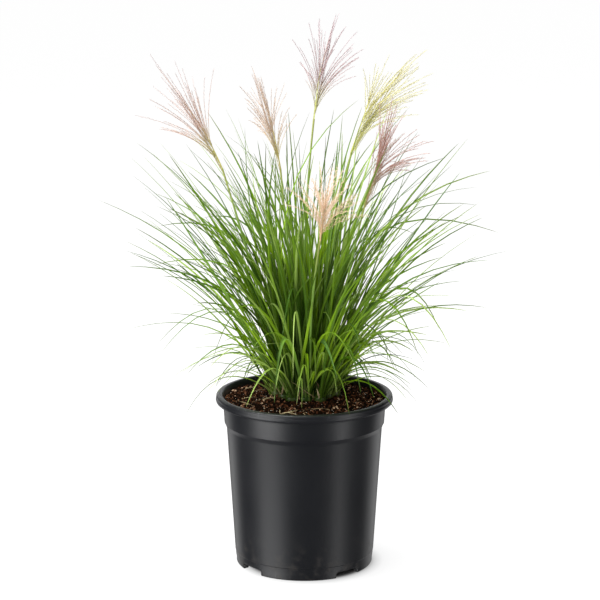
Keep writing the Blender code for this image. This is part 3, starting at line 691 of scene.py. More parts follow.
draw = np.random.default_rng(SEED)
bark = Crowd()
scatter(bark, crumbs, CRUMBS, CRUMB_SIZE, draw)
scatter(bark, splinters, SPLINTERS, SPLINTER_SIZE, draw)
bark_crumbs = bark.build("bark_crumbs", 30)
perlite = Crowd()
scatter(perlite, [grain], GRAINS, GRAIN_SIZE, draw)
perlite_grains = perlite.build("perlite_grains", 30)
print(len(bark.copies), "crumbs and splinters,", len(perlite.copies), "pale grains")

# %% [markdown]
# The mix is painted with the same browns as its crumbs, only darker, since what shows between crumbs lies in
# their shade. Every crumb has its own tone, and most tones are dark: only the top of the range is tan.

# %% Paint the mix and its crumbs
mix_brown, place = new_finish("mix_brown", {"Roughness": 0.95, "Specular IOR Level": 0.05})
lumps = noise(place, 420, 4)
wire_up(mix_brown, {
    "Base Color": ramp(lumps, (0.3, 0.003, 0.001, 0.0005), (0.7, 0.010, 0.005, 0.002)),
    "Normal": bump(lumps, 0.001),
})
dress(potting_mix, mix_brown, "potting_mix", ["soil"])

bark_brown, place = new_finish("bark_brown", {"Specular IOR Level": 0.04})
tone = attribute(place, "tone")
fibres = noise(place, 900, 4)
bark_colour = ramp(
    tone + 0.35 * (fibres - 0.5),
    (0.00, 0.003, 0.001, 0.0005),
    (0.52, 0.012, 0.005, 0.002),
    (0.82, 0.075, 0.026, 0.011),
    (0.95, 0.200, 0.092, 0.046),
    (1.00, 0.560, 0.390, 0.260),
)
wire_up(bark_brown, {"Base Color": bark_colour, "Roughness": 0.6 + 0.3 * fibres, "Normal": bump(fibres, 0.0006)})
dress(bark_crumbs, bark_brown, "potting_mix")

perlite_white, place = new_finish("perlite_white", {"Roughness": 0.9})
pores = noise(place, 1600, 3)
wire_up(perlite_white, {
    "Base Color": mixed(pores, (0.34, 0.27, 0.20), (0.78, 0.72, 0.62)),
    "Normal": bump(pores, 0.0005),
})
dress(perlite_grains, perlite_white, "potting_mix")

# %% [markdown]
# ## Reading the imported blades
# Each packed blade is an arc: at its tip three edges meet, and ring after ring of three corners follows, down to
# its root. The arc is a quadratic curve, so the tip and the next two rings say where the rest of it lies, and how
# wide and how rolled it is. Reading them keeps every fine blade exactly where its solid is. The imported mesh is
# loose triangles, so a copy of it is merged first.

# %% Describe an arc
RING_SPACING = 0.2


class Arc:
    """A smooth curve from a root, drawn towards a pull, to a tip, with a width and a roll at each end."""

    def __init__(self, root, pull, tip, width=0.0, roll=(0.0, 0.0)):
        self.root, self.pull, self.tip = (np.asarray(point, float) for point in (root, pull, tip))
        self.width, self.roll = width, roll

    def slope(self, t):
        t = np.clip(t, 0, 1)[:, None]
        return 2 * (self.pull - self.root) * (1 - t) + 2 * (self.tip - self.pull) * t

    def at(self, t):
        """Places along the arc. Below 0 it carries on straight, into the soil."""
        t = np.asarray(t, float)
        s = np.clip(t, 0, 1)[:, None]
        place = self.root * (1 - s) ** 2 + self.pull * 2 * s * (1 - s) + self.tip * s**2
        return place + self.slope(t) * np.minimum(t, 0)[:, None]

    def frames(self, t, ripple=0.0):
        """The way ahead, sideways and upwards at each place, rolled as the blade is."""
        ahead = self.slope(t)
        ahead /= np.linalg.norm(ahead, axis=1)[:, None]
        run = self.tip - self.root
        across = np.array((-run[1], run[0], 0.0)) / math.hypot(run[0], run[1])
        above = np.cross(ahead, across)
        above /= np.linalg.norm(above, axis=1)[:, None]
        side = np.cross(above, ahead)
        turn = (self.roll[0] + (self.roll[1] - self.roll[0]) * t + ripple)[:, None]
        return ahead, side * np.cos(turn) + above * np.sin(turn), above * np.cos(turn) - side * np.sin(turn)

    def length(self):
        return np.linalg.norm(np.diff(self.at(np.linspace(0, 1, 30)), axis=0), axis=1).sum()


# %% Describe a blade's width
# The share at the foot, and how fast it grows from there
FOOT_WIDENING = (0.48, 2.2)
TAPER = (2.2, 0.6)


def blade_width(t):
    """A blade's width along it, as a share of its full width: narrow foot, full middle, long taper."""
    return np.minimum(1.0, FOOT_WIDENING[0] + FOOT_WIDENING[1] * t) * (1 - np.clip(t, 0, 1) ** TAPER[0]) ** TAPER[1]


print("a blade's width at its foot, middle and near its tip:", blade_width(np.array((0, 0.5, 0.95))).round(2))

# %% Find the rings of a packed blade
MERGE_DISTANCE = 0.00001
# The least distance from a tip to its ring, in a flower head and in a tuft
SHORTEST_STEPS = (0.005, 0.030)


def ring_middle(ring, keeled):
    """The middle of three corners, or for a keeled blade the middle of its flat side, its width and its keel."""
    points = [np.array(corner.co) for corner in ring]
    if not keeled:
        return sum(points) / 3, None, None
    pairs = [(np.linalg.norm(points[i] - points[j]), i, j) for i, j in ((0, 1), (1, 2), (2, 0))]
    width, i, j = max(pairs)
    middle = (points[i] + points[j]) / 2
    return middle, width, middle - points[3 - i - j]


def merged(name):
    """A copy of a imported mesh, with its loose triangles joined at their corners."""
    shape = bmesh.new()
    shape.from_mesh(nodes[name].data)
    bmesh.ops.remove_doubles(shape, verts=shape.verts, dist=MERGE_DISTANCE)
    return shape


def rings_in(name, shortest):
    """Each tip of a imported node, with the ring of corners next to it and the ring after that."""
    shape = merged(name)
    beside = {corner: {edge.other_vert(corner) for edge in corner.link_edges} for corner in shape.verts}
    for tip in shape.verts:
        ring = beside[tip]
        joined = len(ring) == 3 and all(len(ring & beside[corner]) == 2 for corner in ring)
        if joined and min((corner.co - tip.co).length for corner in ring) > shortest:
            lower = set().union(*(beside[corner] for corner in ring)) - ring - {tip}
            yield np.array(tip.co), ring, lower
    shape.free()


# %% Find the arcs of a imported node
def mean_root(arcs):
    return sum(arc.root for arc in arcs) / len(arcs)


def arcs_in(name, keeled):
    """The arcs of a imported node. Where two blades cross near a ring, the tuft's middle stands in for the root."""
    arcs, crossed = [], []
    near_t, far_t = 1 - RING_SPACING, 1 - 2 * RING_SPACING
    for tip, ring, lower in rings_in(name, SHORTEST_STEPS[keeled]):
        near, width, keel = ring_middle(ring, keeled)
        if len(lower) != 3:
            crossed.append((tip, near, width, keel))
            continue
        far, _, far_keel = ring_middle(lower, keeled)
        curve = (tip - 2 * near + far) / 2
        step = (4 * near - 3 * tip - far) / 2
        back = 1 / RING_SPACING
        arc = Arc(tip + back * step + back**2 * curve, tip + back * step / 2, tip)
        if keeled:
            _, sides, aboves = arc.frames(np.array([near_t, far_t]))
            keels = (keel, far_keel)
            turns = [math.atan2(-down @ side, down @ above) for down, side, above in zip(keels, sides, aboves)]
            root_turn = turns[0] - (turns[0] - turns[1]) / RING_SPACING * near_t
            arc.width = width / blade_width(near_t)
            arc.roll = (root_turn, root_turn + (turns[0] - turns[1]) / RING_SPACING)
        arcs.append(arc)
    for tip, near, width, keel in crossed:
        root = mean_root(arcs)
        pull = (near - root * RING_SPACING**2 - tip * near_t**2) / (2 * RING_SPACING * near_t)
        arcs.append(Arc(root, pull, tip, width / blade_width(near_t) if keeled else 0.0))
    return arcs


tuft_names = sorted(name for name in nodes if name.startswith("tuft_"))
tuft_arcs = {name: arcs_in(name, True) for name in tuft_names}
tuft_roots = {name: mean_root(arcs) for name, arcs in tuft_arcs.items()}
print(sum(map(len, tuft_arcs.values())), "blades read from", len(tuft_names), "tufts")

# %% [markdown]
# ## One blade
# A leaf of this grass is a long ribbon with a shallow fold: a pale midrib runs along the bottom of the fold and
# stands out as a keel underneath. So the blade starts as a ring of four corners, is drawn out to a point, and its
# upper and lower corners are then pressed down. Height on this straight blade becomes the way along its arc.

# %% Model one blade
BLADE_ROWS = (-0.03, 0.03, 0.09, 0.17, 0.26, 0.36, 0.46, 0.56, 0.66, 0.76, 0.85, 0.93, 0.98)
FOLD = -0.42
KEEL = 0.60
HAIR = 0.00001


def press(rule, amount):
    """Scales the picked corners of the straight blade across its flat side."""
    pick(rule)
    bpy.ops.transform.resize(value=(1, amount, 1), center_override=(0, 0, 0))


def blade_uv(mesh, master):
    """Across the blade from 0 to 1 on its upper side and from 1 to 2 below, and along it from root to tip."""
    place = master.points[master.corners]
    below = np.repeat([face.normal.y < 0 for face in mesh.polygons], master.sizes)
    return np.column_stack((place[:, 0] / np.maximum(blade_width(place[:, 2]), HAIR) + 0.5 + below, place[:, 2]))


blade_rows = [(blade_width(t) / 2, t) for t in BLADE_ROWS] + [(0, 1)]
start_ring(4, *blade_rows[0])
draw_out(blade_rows)
press(lambda corner: corner.y < -HAIR, KEEL)
press(lambda corner: corner.y > HAIR, FOLD)
blade = Master(close_up("blade"), blade_uv)
print(len(blade.sizes), "faces a blade")


def bent(arc, master, ripple=0.0, phase=0.0, radius=None):
    """The master's points, carried along the arc and scaled to its width, or to a radius."""
    x, y, t = master.points.T
    _, side, above = arc.frames(t, ripple * np.sin(math.tau * (t + phase)))
    return arc.at(t) + (radius or arc.width) * (x[:, None] * side + y[:, None] * above)


# %% [markdown]
# ## The foot of the clump
# A grass shoot is not one leaf: each leaf's lower part is a sheath, rolled round the younger ones. A short tapered
# tube stands for the sheath under a blade. All the shoots of a tuft rise from one low crown, mostly hidden.

# %% Model a sheath and a crown
SHEATH_ROWS = ((1.00, -0.040), (1.05, 0.015), (0.92, 0.060), (0.70, 0.110), (0.34, 0.165))
CROWN_ROWS = ((0.0066, -0.0080), (0.0080, 0.0), (0.0073, 0.0028), (0.0050, 0.0043), (0, 0.0050))

start_ring(6, *SHEATH_ROWS[0])
draw_out(SHEATH_ROWS)
sheath = Master(close_up("sheath"))
start_ring(12, *CROWN_ROWS[0])
draw_out(CROWN_ROWS)
crown = Master(close_up("crown"))
print(len(sheath.sizes), "faces a sheath,", len(crown.sizes), "faces a crown")

# %% [markdown]
# ## More blades than the solids hold
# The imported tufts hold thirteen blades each, as thick as solids need. A real tuft has more than twice as many, most
# of them slimmer. Only the tufts near the pot's axis get few more, so that the clump stays open there. Every added
# blade takes after a packed one: it leaves the soil near it, leans about as it does, and ends a little short of it
# or turned away from it. So the clump gets denser and keeps its outline. Around the foot, short leaves bow out over
# the mix and the rim.

# %% Keep leaves clear of the pot
SOIL_CLEARANCE = 0.002
RIM_CLEARANCE = 0.004
# How far inside the mouth a leaf has to be over the rim already
MOUTH_MARGIN = 0.008
# Where along a leaf this is looked at, and how many leaves are tried
CHECKED = np.linspace(0.06, 1, 25)
TRIES = 30


def clear_of_pot(arc):
    """Whether the arc stays above the soil and passes over the rim, or outside it."""
    places = arc.at(CHECKED)
    away, height = np.hypot(places[:, 0], places[:, 1]), places[:, 2]
    over_soil = height > SOIL_HEIGHT + SOIL_MOUND + SOIL_CLEARANCE
    over_rim = height > POT_HEIGHT + RIM_CLEARANCE
    outside = away > RIM_RADIUS + RIM_CLEARANCE
    return np.all(np.where(away < MOUTH_RADIUS - MOUTH_MARGIN, over_soil, over_rim | outside))


def first_clear(propose):
    """The first of some proposals that is clear of the pot, or nothing."""
    return next((arc for arc in (propose() for _ in range(TRIES)) if clear_of_pot(arc)), None)


# %% Make a blade that takes after a packed one
SIBLING_LENGTH = (0.55, 1.02)
SIBLING_TURN = 30.0
SIBLING_SHIFT = 0.0030
SIBLING_SWAY = 0.017
SIBLING_ROLL = 0.5
SIBLING_WIDTH = (0.0020, 0.0040)
# How far an added blade reaches out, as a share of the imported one's reach. The rest goes into its height.
SIBLING_REACH = (0.30, 1.00)
GAIN = 0.25
HIGHEST = 0.600


def sibling(arc, draw):
    """A blade that takes after this one, but is slimmer, and mostly shorter."""
    turn = math.radians(SIBLING_TURN) * draw.normal()
    length, reach = draw.uniform(*SIBLING_LENGTH), draw.uniform(*SIBLING_REACH)
    root = arc.root + (*SIBLING_SHIFT * draw.normal(size=2), 0)
    turned = np.array(((math.cos(turn), -math.sin(turn), 0), (math.sin(turn), math.cos(turn), 0), (0, 0, 1)))
    ends = []
    for point in (arc.pull, arc.tip):
        run = turned @ (point - arc.root)
        rise = run[2] + GAIN * (1 - reach) * np.hypot(*run[:2])
        ends.append(root + length * np.array((reach * run[0], reach * run[1], rise)))
    pull, tip = ends
    pull[:2] += SIBLING_SWAY * draw.normal(size=2)
    tip[2] = min(tip[2], HIGHEST)
    width = draw.uniform(*SIBLING_WIDTH)
    return Arc(root, pull, tip, width, tuple(roll + SIBLING_ROLL * draw.normal() for roll in arc.roll))


# %% Make a leaf that bows over
# For each kind of bowed leaf: its length, its lean and bend in degrees, and how much of its length is left in front
SHORT_BOW = ((0.090, 0.200), (22, 55), (75, 150), 0.75)
LONG_BOW = ((0.150, 0.270), (12, 36), (65, 115), 1.0)
BOW_STRAY = 0.6
BOW_HALF = 0.52
BOW_WIDTH = (0.0024, 0.0040)
BOW_ROLL = 0.7
FRONT_SINE = -0.7


def leaning(lean, bearing):
    """The direction that leans so far from upright, towards this bearing."""
    return np.array((math.sin(lean) * math.cos(bearing), math.sin(lean) * math.sin(bearing), math.cos(lean)))


def arch(root, bow, twist, draw):
    """A leaf that bows outwards from this root, and turns aside towards its tip by this twist."""
    lengths, leans, bends, front = bow
    away = math.atan2(root[1], root[0]) + BOW_STRAY * draw.normal()
    lean, bend = math.radians(draw.uniform(*leans)), math.radians(draw.uniform(*bends))
    length = draw.uniform(*lengths) * (front if math.sin(away) < FRONT_SINE else 1)
    pull = root + BOW_HALF * length * leaning(lean, away)
    tip = pull + BOW_HALF * length * leaning(lean + bend, away + twist)
    return Arc(root, pull, tip, draw.uniform(*BOW_WIDTH), BOW_ROLL * draw.normal(size=2))


# %% Draw the added blades
# Tufts farther than this from the pot's axis get more siblings for each of theirs, and the short leaves
OUTER_RADIUS = 0.03
SIBLINGS = 17
INNER_SIBLINGS = 6
ARCHES = 42

draw = np.random.default_rng(SEED)
added = {}
outer_tufts = [name for name in tuft_names if np.hypot(*tuft_arcs[name][0].root[:2]) > OUTER_RADIUS]
for name, arcs in tuft_arcs.items():
    count = SIBLINGS if name in outer_tufts else INNER_SIBLINGS
    chosen = [arcs[i] for i in draw.integers(len(arcs), size=count)]
    added[name] = [first_clear(lambda: sibling(arc, draw)) for arc in chosen]
for i in range(ARCHES):
    name = outer_tufts[i % len(outer_tufts)]
    root = tuft_arcs[name][draw.integers(len(tuft_arcs[name]))].root
    added[name].append(first_clear(lambda: arch(root, SHORT_BOW, 0.0, draw)))
added = {name: [arc for arc in arcs if arc] for name, arcs in added.items()}
print(sum(map(len, added.values())), "blades added")

# %% Build the tufts
SHEATH_RADIUS = (0.0011, 0.0017)
SHEATHED = 0.5
RIPPLE = 0.25
SLIMMER = 0.80
LEADING_WIDTH = 0.0062
BROADEST = 0.0080

tufts = {}
for name, arcs in tuft_arcs.items():
    crowd = Crowd()
    x, y, _ = tuft_roots[name]
    crowd.add(crown, crown.points + (x, y, ground(x, y)), tone=draw.uniform(), kind=1.0, breadth=0.0)
    for arc in arcs:
        arc.width *= SLIMMER if arc.width < LEADING_WIDTH else 1.0
    for arc in arcs + added[name]:
        tone, breadth = draw.uniform(), arc.width / BROADEST
        ripple = RIPPLE * draw.uniform()
        crowd.add(blade, bent(arc, blade, ripple, draw.uniform()), tone=tone, kind=0.0, breadth=breadth)
        if arc.width > SIBLING_WIDTH[1] or draw.uniform() < SHEATHED:
            points = bent(arc, sheath, radius=draw.uniform(*SHEATH_RADIUS))
            crowd.add(sheath, points, tone=tone, kind=0.5, breadth=breadth)
    tufts[name] = crowd.build("fine_" + name, 40)
print(len(tufts), "tufts, the last one with", len(crowd.copies), "blades, sheaths and crowns")

# %% [markdown]
# Some leaves of the front shoots are too weak to stand. They bow over in front of the others and turn aside. As
# they catch the light, they are painted paler than most: their tones come from the pale end, a painted highlight, and
# the painted shade inside the clump passes them by.

# %% Build the bowed leaves
BOWED = 26
BOWED_REACH = 0.200
BOWED_TWIST = 1.4
# Tones from the pale end only: a painted highlight for the light that the bowed leaves catch
BOWED_LIT_TONE = (0.60, 1.00)
# How far from the clump's middle a tuft of its outer ring stands, at least
RING_RADIUS = 0.028

bow_draw = np.random.default_rng(SEED + 1)
clump_middle = sum(tuft_roots.values()) / len(tuft_roots)
front_tufts = [
    name for name, root in tuft_roots.items()
    if np.linalg.norm(root - clump_middle) > RING_RADIUS and root[1] < clump_middle[1]
]
crowd = Crowd()
for i in range(BOWED):
    arcs = tuft_arcs[front_tufts[i % len(front_tufts)]]
    root = arcs[bow_draw.integers(len(arcs))].root
    twist = bow_draw.uniform(-BOWED_TWIST, BOWED_TWIST)
    arc = first_clear(lambda: arch(root, LONG_BOW, twist, bow_draw))
    if arc and abs(arc.tip[1]) < BOWED_REACH:
        points = bent(arc, blade, RIPPLE * bow_draw.uniform(), bow_draw.uniform())
        tone = bow_draw.uniform(*BOWED_LIT_TONE)
        crowd.add(blade, points, tone=tone, kind=-1.0, breadth=arc.width / BROADEST)
bowed_leaves = crowd.build("bowed_leaves", 40)
print(len(crowd.copies), "bowed leaves from", len(front_tufts), "tufts")

# %% [markdown]
# A leaf's green is not one green. Its foot is dull and dark, and that dark is partly painted shade, since the foot
# lies deep in the clump. Its middle is a full green, and its tip starts to dry. The midrib is pale, fine veins run
# beside it, and the underside is duller. Every blade has its own tone as well, the pale ones have a waxy coat, and
# the broad ones are bluer. Inside the clump and low down everything but the bowed leaves is darker: a painted shade
# for the light that the clump keeps out. How far in a place is follows from its distance from the axis, as a share of
# how far the clump spreads at that height. A blade's kind is 0, a bowed one's -1, a sheath's a half and a crown's 1.

# %% Paint the blades
CLUMP_FOOT = 0.055
CLUMP_SPREAD = 0.70
# The heights over which the painted shade inside the clump fades out
INNER_SHADE_TOP = (0.34, 0.47)

leaf_green, place = new_finish("leaf_green", {"Specular IOR Level": 0.20, "Coat Roughness": 0.35})
across, along, _ = split(place, "grain")
tone, kind, breadth = (attribute(place, name) for name in ("tone", "kind", "breadth"))
_, _, height = split(place)
flat = place.node("VectorMath", {"operation": "MULTIPLY"}, {0: place, 1: (1, 1, 0)})
from_axis = flat.node("VectorMath", {"operation": "LENGTH"}, {0: flat}, output="Value")
share_out = from_axis / (CLUMP_FOOT + CLUMP_SPREAD * (height - SOIL_HEIGHT))
# Painted shade: darker inside the clump and low down, where little light gets in
inner = (1 - span(share_out, 0.25, 0.85)) * (1 - span(height, *INNER_SHADE_TOP))
below = across > 1.0
veins = (across * 80).maths("SINE", across * 80)
rib = 1 - span(abs(across - below - 0.5), 0.025, 0.10)
# The dark foot of this ramp is partly the leaf's duller colour and partly painted shade, deep in the clump
green = ramp(
    along,
    (0.00, 0.012, 0.016, 0.001),
    (0.10, 0.040, 0.060, 0.002),
    (0.27, 0.320, 0.540, 0.003),
    (0.45, 0.300, 0.515, 0.003),
    (0.70, 0.150, 0.290, 0.004),
    (0.86, 0.090, 0.170, 0.006),
    (1.00, 0.100, 0.110, 0.025),
)
dark = mixed((1 - span(tone, 0.0, 0.55)) * 0.95, green, (0.018, 0.068, 0.001))
pale = span(tone, 0.60, 1.0)
light = mixed(pale * 0.80, dark, (0.430, 0.580, 0.150))
broad = mixed(span(breadth, 0.66, 0.76) * 0.6, light, (0.120, 0.250, 0.060))
ribbed = mixed(rib * 0.25, broad, (0.320, 0.480, 0.050))
veined = mixed(0.08 + 0.08 * veins, ribbed, (0.020, 0.090, 0.003))
under = mixed(below * 0.28, veined, (0.160, 0.290, 0.030))
sheathed = mixed((kind > 0.25) * 0.25, under, (0.200, 0.240, 0.035))
crowned = mixed((kind > 0.75) * 0.9, sheathed, (0.030, 0.030, 0.010))
# The painted shade inside the clump goes on everything but the bowed leaves
shaded = mixed(inner * 0.82 * (kind > -0.5), crowned, (0.010, 0.042, 0.001))
wire_up(leaf_green, {
    "Base Color": shaded,
    "Roughness": 0.38 + 0.12 * below + 0.05 * veins,
    "Coat Weight": 0.6 * pale * (1 - below),
    "Normal": bump(veins * 0.5 + rib, 0.00012),
})
for name, tuft in tufts.items():
    dress(tuft, leaf_green, "blade_green", [name])
dress(bowed_leaves, leaf_green, "blade_green")

# %% [markdown]
# ## The flower stems
# A culm is a thin cane. At each joint it swells a little, and from there a sheath wraps it for most of the way to
# the next one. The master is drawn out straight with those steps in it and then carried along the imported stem.

# %% Model a culm
CULM_SIDES = 8
JOINTS = (0.16, 0.40, 0.66)
# For each stretch after a joint: how far up it each ring sits, and its radius as a share of the culm's
STRETCH = ((0.000, 1.45), (0.012, 1.55), (0.024, 1.35), (0.060, 1.42), (0.150, 1.32), (0.170, 1.10), (0.200, 1.10))
CULM_RADIUS = 0.00105

culm_rows = [(1.50, -0.04), (1.42, 0.02), (1.35, 0.10)]
culm_rows += [(share, joint + onward) for joint in JOINTS for onward, share in STRETCH]
culm_rows += [(1.15, 0.92), (1.20, 1.0)]
start_ring(CULM_SIDES, *culm_rows[0])
draw_out(culm_rows)
culm = Master(close_up("culm"))
print(len(culm.sizes), "faces a culm")

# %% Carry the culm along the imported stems
PACKED_SIDES = 5


def ring_centres(name):
    """The middles of a packed stem's rings, from the lowest up."""
    shape = merged(name)
    corners = sorted((np.array(corner.co) for corner in shape.verts), key=lambda corner: corner[2])
    shape.free()
    return [sum(corners[i:i + PACKED_SIDES]) / PACKED_SIDES for i in range(0, len(corners), PACKED_SIDES)]


def arc_through(points):
    """The arc from the first to the last of some evenly spaced points, past all the others."""
    t = np.linspace(0, 1, len(points))[1:-1, None]
    inner = np.array(points[1:-1])
    pulls = (inner - points[0] * (1 - t) ** 2 - points[-1] * t**2) / (2 * t * (1 - t))
    return Arc(points[0], pulls.mean(axis=0), points[-1])


culm_names = sorted(name for name in nodes if name.startswith("culm_"))
culm_arcs = {name: arc_through(ring_centres(name)[1:]) for name in culm_names}
culms = {}
for name, arc in culm_arcs.items():
    crowd = Crowd()
    crowd.add(culm, bent(arc, culm, radius=CULM_RADIUS), tone=draw.uniform(), along=culm.points[:, 2])
    culms[name] = crowd.build("fine_" + name, 40)
    print(f"{name} is {arc.length():.3f} m long")

# %% Paint the culms
cane_green, place = new_finish("cane_green", {"Specular IOR Level": 0.4})
tone, along = attribute(place, "tone"), attribute(place, "along")
cane = ramp(
    along,
    (0.00, 0.300, 0.330, 0.080),
    (0.35, 0.180, 0.320, 0.050),
    (0.75, 0.200, 0.330, 0.055),
    (1.00, 0.330, 0.330, 0.090),
)
fibre = noise(place, 700, 3, stretch=(1, 1, 0.05))
wire_up(cane_green, {
    "Base Color": mixed(fibre * 0.45, cane, (0.090, 0.170, 0.025)),
    "Roughness": 0.40 + 0.15 * fibre,
    "Normal": bump(fibre, 0.0002),
})
for name, piece in culms.items():
    dress(piece, cane_green, "culm_green", [name])

# %% [markdown]
# ## The flower heads
# A flower head is a bundle of thin branches that spring from the upper end of the stem. Each branch is beaded with
# spikelets, and each spikelet is a husk like a tiny grain of oats, with a ring of silky hairs round its foot and a
# bristle at its tip. The hairs make the head silvery and see-through. One spikelet is modelled with solid hairs,
# and several hundred copies stand along the branches of each head.
#
# Each packed branch gets finer ones beside it. The densest part of a real head is its middle line, so some more
# branches run close to the line from the stem to the longest branch.

# %% Model one spikelet
HUSK_ROWS = ((0.00016, 0.0), (0.00034, 0.0012), (0.00028, 0.0030), (0, 0.0048))
# For each hair: its lean from the husk in degrees, its bearing in degrees, and its length
HAIRS = (
    (10, 20, 0.0066), (20, 72, 0.0052), (13, 125, 0.0070), (24, 176, 0.0050),
    (11, 230, 0.0064), (18, 281, 0.0056), (27, 330, 0.0048),
)
HAIR_RADIUS = 0.00005
BRISTLE = 0.0080
BRISTLE_LEAN = 4

start_ring(4, *HUSK_ROWS[0])
draw_out(HUSK_ROWS)
husk = close_up("husk")
husk_faces = len(husk.data.polygons)
parts = [husk]
for lean, bearing, length in (*HAIRS, (BRISTLE_LEAN, 0, BRISTLE)):
    turn = (0, math.radians(lean), math.radians(bearing))
    bpy.ops.mesh.primitive_cone_add(vertices=3, radius1=HAIR_RADIUS, depth=length, end_fill_type="NOTHING")
    bpy.context.object.location.z = length / 2
    bpy.ops.object.transform_apply()
    bpy.context.object.rotation_euler = turn
    bpy.ops.object.transform_apply()
    parts.append(bpy.context.object)
activate(husk)
for part in parts:
    part.select_set(True)
bpy.ops.object.join()


def spikelet_uv(mesh, master):
    """0 on the husk and 1 on its hairs, and the height."""
    silky = np.repeat(np.arange(len(master.sizes)) >= husk_faces, master.sizes)
    return np.column_stack((silky, master.points[master.corners, 2] / BRISTLE))


spikelet = Master(husk, spikelet_uv)
print(len(spikelet.sizes), "faces a spikelet")

# %% Model the thread of a branch
THREAD_RINGS = 9
THREAD_TAPER = 0.6

start_ring(3, 1.0, 0.0)
draw_out([(1.0 - THREAD_TAPER * t, t) for t in np.linspace(0, 1, THREAD_RINGS)])
thread = Master(close_up("thread"))
print(len(thread.sizes), "faces a thread")

# %% Describe the six heads
# For each head: its spikelets' lean in degrees and their size, how much a branch zigzags, how many finer branches
# go with each one and how far those stray, and for the branches close to the middle line how many they are, how
# far they spread, and how far below the head's foot the lowest start
HEADS = {
    "plume_1": (8, 0.80, 0.0000, 2, 0.010, 9, 0.0022, 0.010),
    "plume_2": (8, 0.85, 0.0000, 2, 0.008, 10, 0.0030, 0.012),
    "plume_3": (7, 0.80, 0.0000, 2, 0.006, 6, 0.0020, 0.0),
    "plume_4": (9, 0.85, 0.0001, 2, 0.012, 11, 0.0045, 0.014),
    "plume_5": (8, 0.85, 0.0000, 2, 0.010, 24, 0.0060, 0.020),
    "plume_6": (20, 1.00, 0.0005, 2, 0.016, 2, 0.0030, 0.0),
}
SPIKELET_STEP = 0.0027
BRANCH_RADIUS = 0.00020
AXIS_RADIUS = 0.00120
# An axis keeps the colours of the head's foot for longer than its branches do
AXIS_PACE = 0.5
SPIKELETS_FROM = 0.08
FEWEST_SPIKELETS = 4
SPIKELET_SIZES = (0.8, 1.1)
# How far a spikelet's turn and lean stray, in radians and in degrees
SPIKELET_STRAY = (0.6, 4)
# How much of a spikelet's tone is its branch's, and how much its own
TONE_SHARES = (0.6, 0.4)
FINER = (0.60, 1.00)
FINER_SWAY = 0.3
CORE_STARTS = (-1.0, 0.9)
CORE_ENDS = (0.22, 0.85)

# %% Lay out a head's branches
def axis_arc(arcs, top):
    """The head's own axis: from the culm's top, past the places where the branches start."""
    starts = sorted((arc.root for arc in arcs), key=lambda root: np.linalg.norm(root - top))
    away = [0.0] + [np.linalg.norm(root - top) for root in starts]
    fit = np.polyfit(away, [top, *starts], 2)
    return arc_through([fit[0] * reach**2 + fit[1] * reach + fit[2] for reach in np.linspace(0, away[-1], 5)])


def finer(arc, stray, draw):
    """A shorter branch that goes with this one."""
    length, shift = draw.uniform(*FINER), stray * draw.normal(size=3)
    pull, tip = (arc.root + length * (point - arc.root) for point in (arc.pull, arc.tip))
    return Arc(arc.root, pull + FINER_SWAY * shift, tip + length * shift)


def core(culm_arc, stem, leader, spread, below, draw):
    """A branch close to the head's middle line, which runs up the stem and on along its longest branch."""
    start = draw.uniform(*CORE_STARTS)
    root = stem.at([start])[0] if start > 0 else culm_arc.at([1 + start * below / culm_arc.length()])[0]
    tip = leader.at([draw.uniform(*CORE_ENDS)])[0]
    pull = (root + tip) / 2 + spread * draw.normal(size=3)
    return Arc(root, pull, tip + spread * draw.normal(size=3))


def rise(places, foot, reach):
    """How far up the head each place is, from 0 at its foot to 1 at its farthest tip."""
    return np.linalg.norm(places - foot, axis=1) / reach


def add_branch(crowd, arc, look, head_span, draw):
    """A branch's thread, and its spikelets on alternate sides. The head's span is its foot and its reach."""
    lean, size, zigzag = look[:3]
    tone = draw.uniform()
    along = rise(arc.at(thread.points[:, 2]), *head_span)
    crowd.add(thread, bent(arc, thread, radius=BRANCH_RADIUS), tone=tone, along=along)
    first_turn = draw.uniform(0, math.tau)
    stations = np.linspace(SPIKELETS_FROM, 1, max(FEWEST_SPIKELETS, int(arc.length() / SPIKELET_STEP)))
    for i, (t, place, frame_axes) in enumerate(zip(stations, arc.at(stations), zip(*arc.frames(stations)))):
        ahead, side, above = frame_axes
        turn = first_turn + math.pi * i + SPIKELET_STRAY[0] * draw.normal()
        out = math.cos(turn) * side + math.sin(turn) * above
        tilt = math.radians(lean + SPIKELET_STRAY[1] * draw.normal())
        up = math.cos(tilt) * ahead + math.sin(tilt) * out
        right = np.cross(up, out)
        right /= np.linalg.norm(right)
        axes = np.array((right, np.cross(up, right), up))
        points = place + zigzag * out + size * draw.uniform(*SPIKELET_SIZES) * spikelet.points @ axes
        own_tone = TONE_SHARES[0] * tone + TONE_SHARES[1] * draw.uniform()
        crowd.add(spikelet, points, tone=own_tone, along=rise(place[None], *head_span)[0])


# %% Build the flower heads
heads = {}
for name, look in HEADS.items():
    packed = arcs_in(name, False)
    culm_arc = culm_arcs[name.replace("plume", "culm")]
    stem = axis_arc(packed, culm_arc.tip)
    branches = packed + [finer(arc, look[4], draw) for arc in packed for _ in range(look[3])]
    reaches = [np.linalg.norm(arc.tip - stem.root) for arc in packed]
    leader = packed[int(np.argmax(reaches))]
    branches += [core(culm_arc, stem, leader, *look[6:], draw) for _ in range(look[5])]
    head_span = (stem.root, max(reaches))
    crowd = Crowd()
    for arc, radius in ((stem, AXIS_RADIUS), (leader, AXIS_RADIUS / 2)):
        along = AXIS_PACE * rise(arc.at(thread.points[:, 2]), *head_span)
        crowd.add(thread, bent(arc, thread, radius=radius), tone=0.5, along=along)
    for arc in branches:
        add_branch(crowd, arc, look, head_span, draw)
    heads[name] = crowd.build("fine_" + name, 50)
    print(f"{name}: {len(packed)} packed branches, {len(branches)} in all")

# %% [markdown]
# The six heads are not of one age: young ones are yellow-green, then pink or mauve, and the oldest are peach and
# silver. Each colour changes with the distance from the head's foot. One function paints them all.

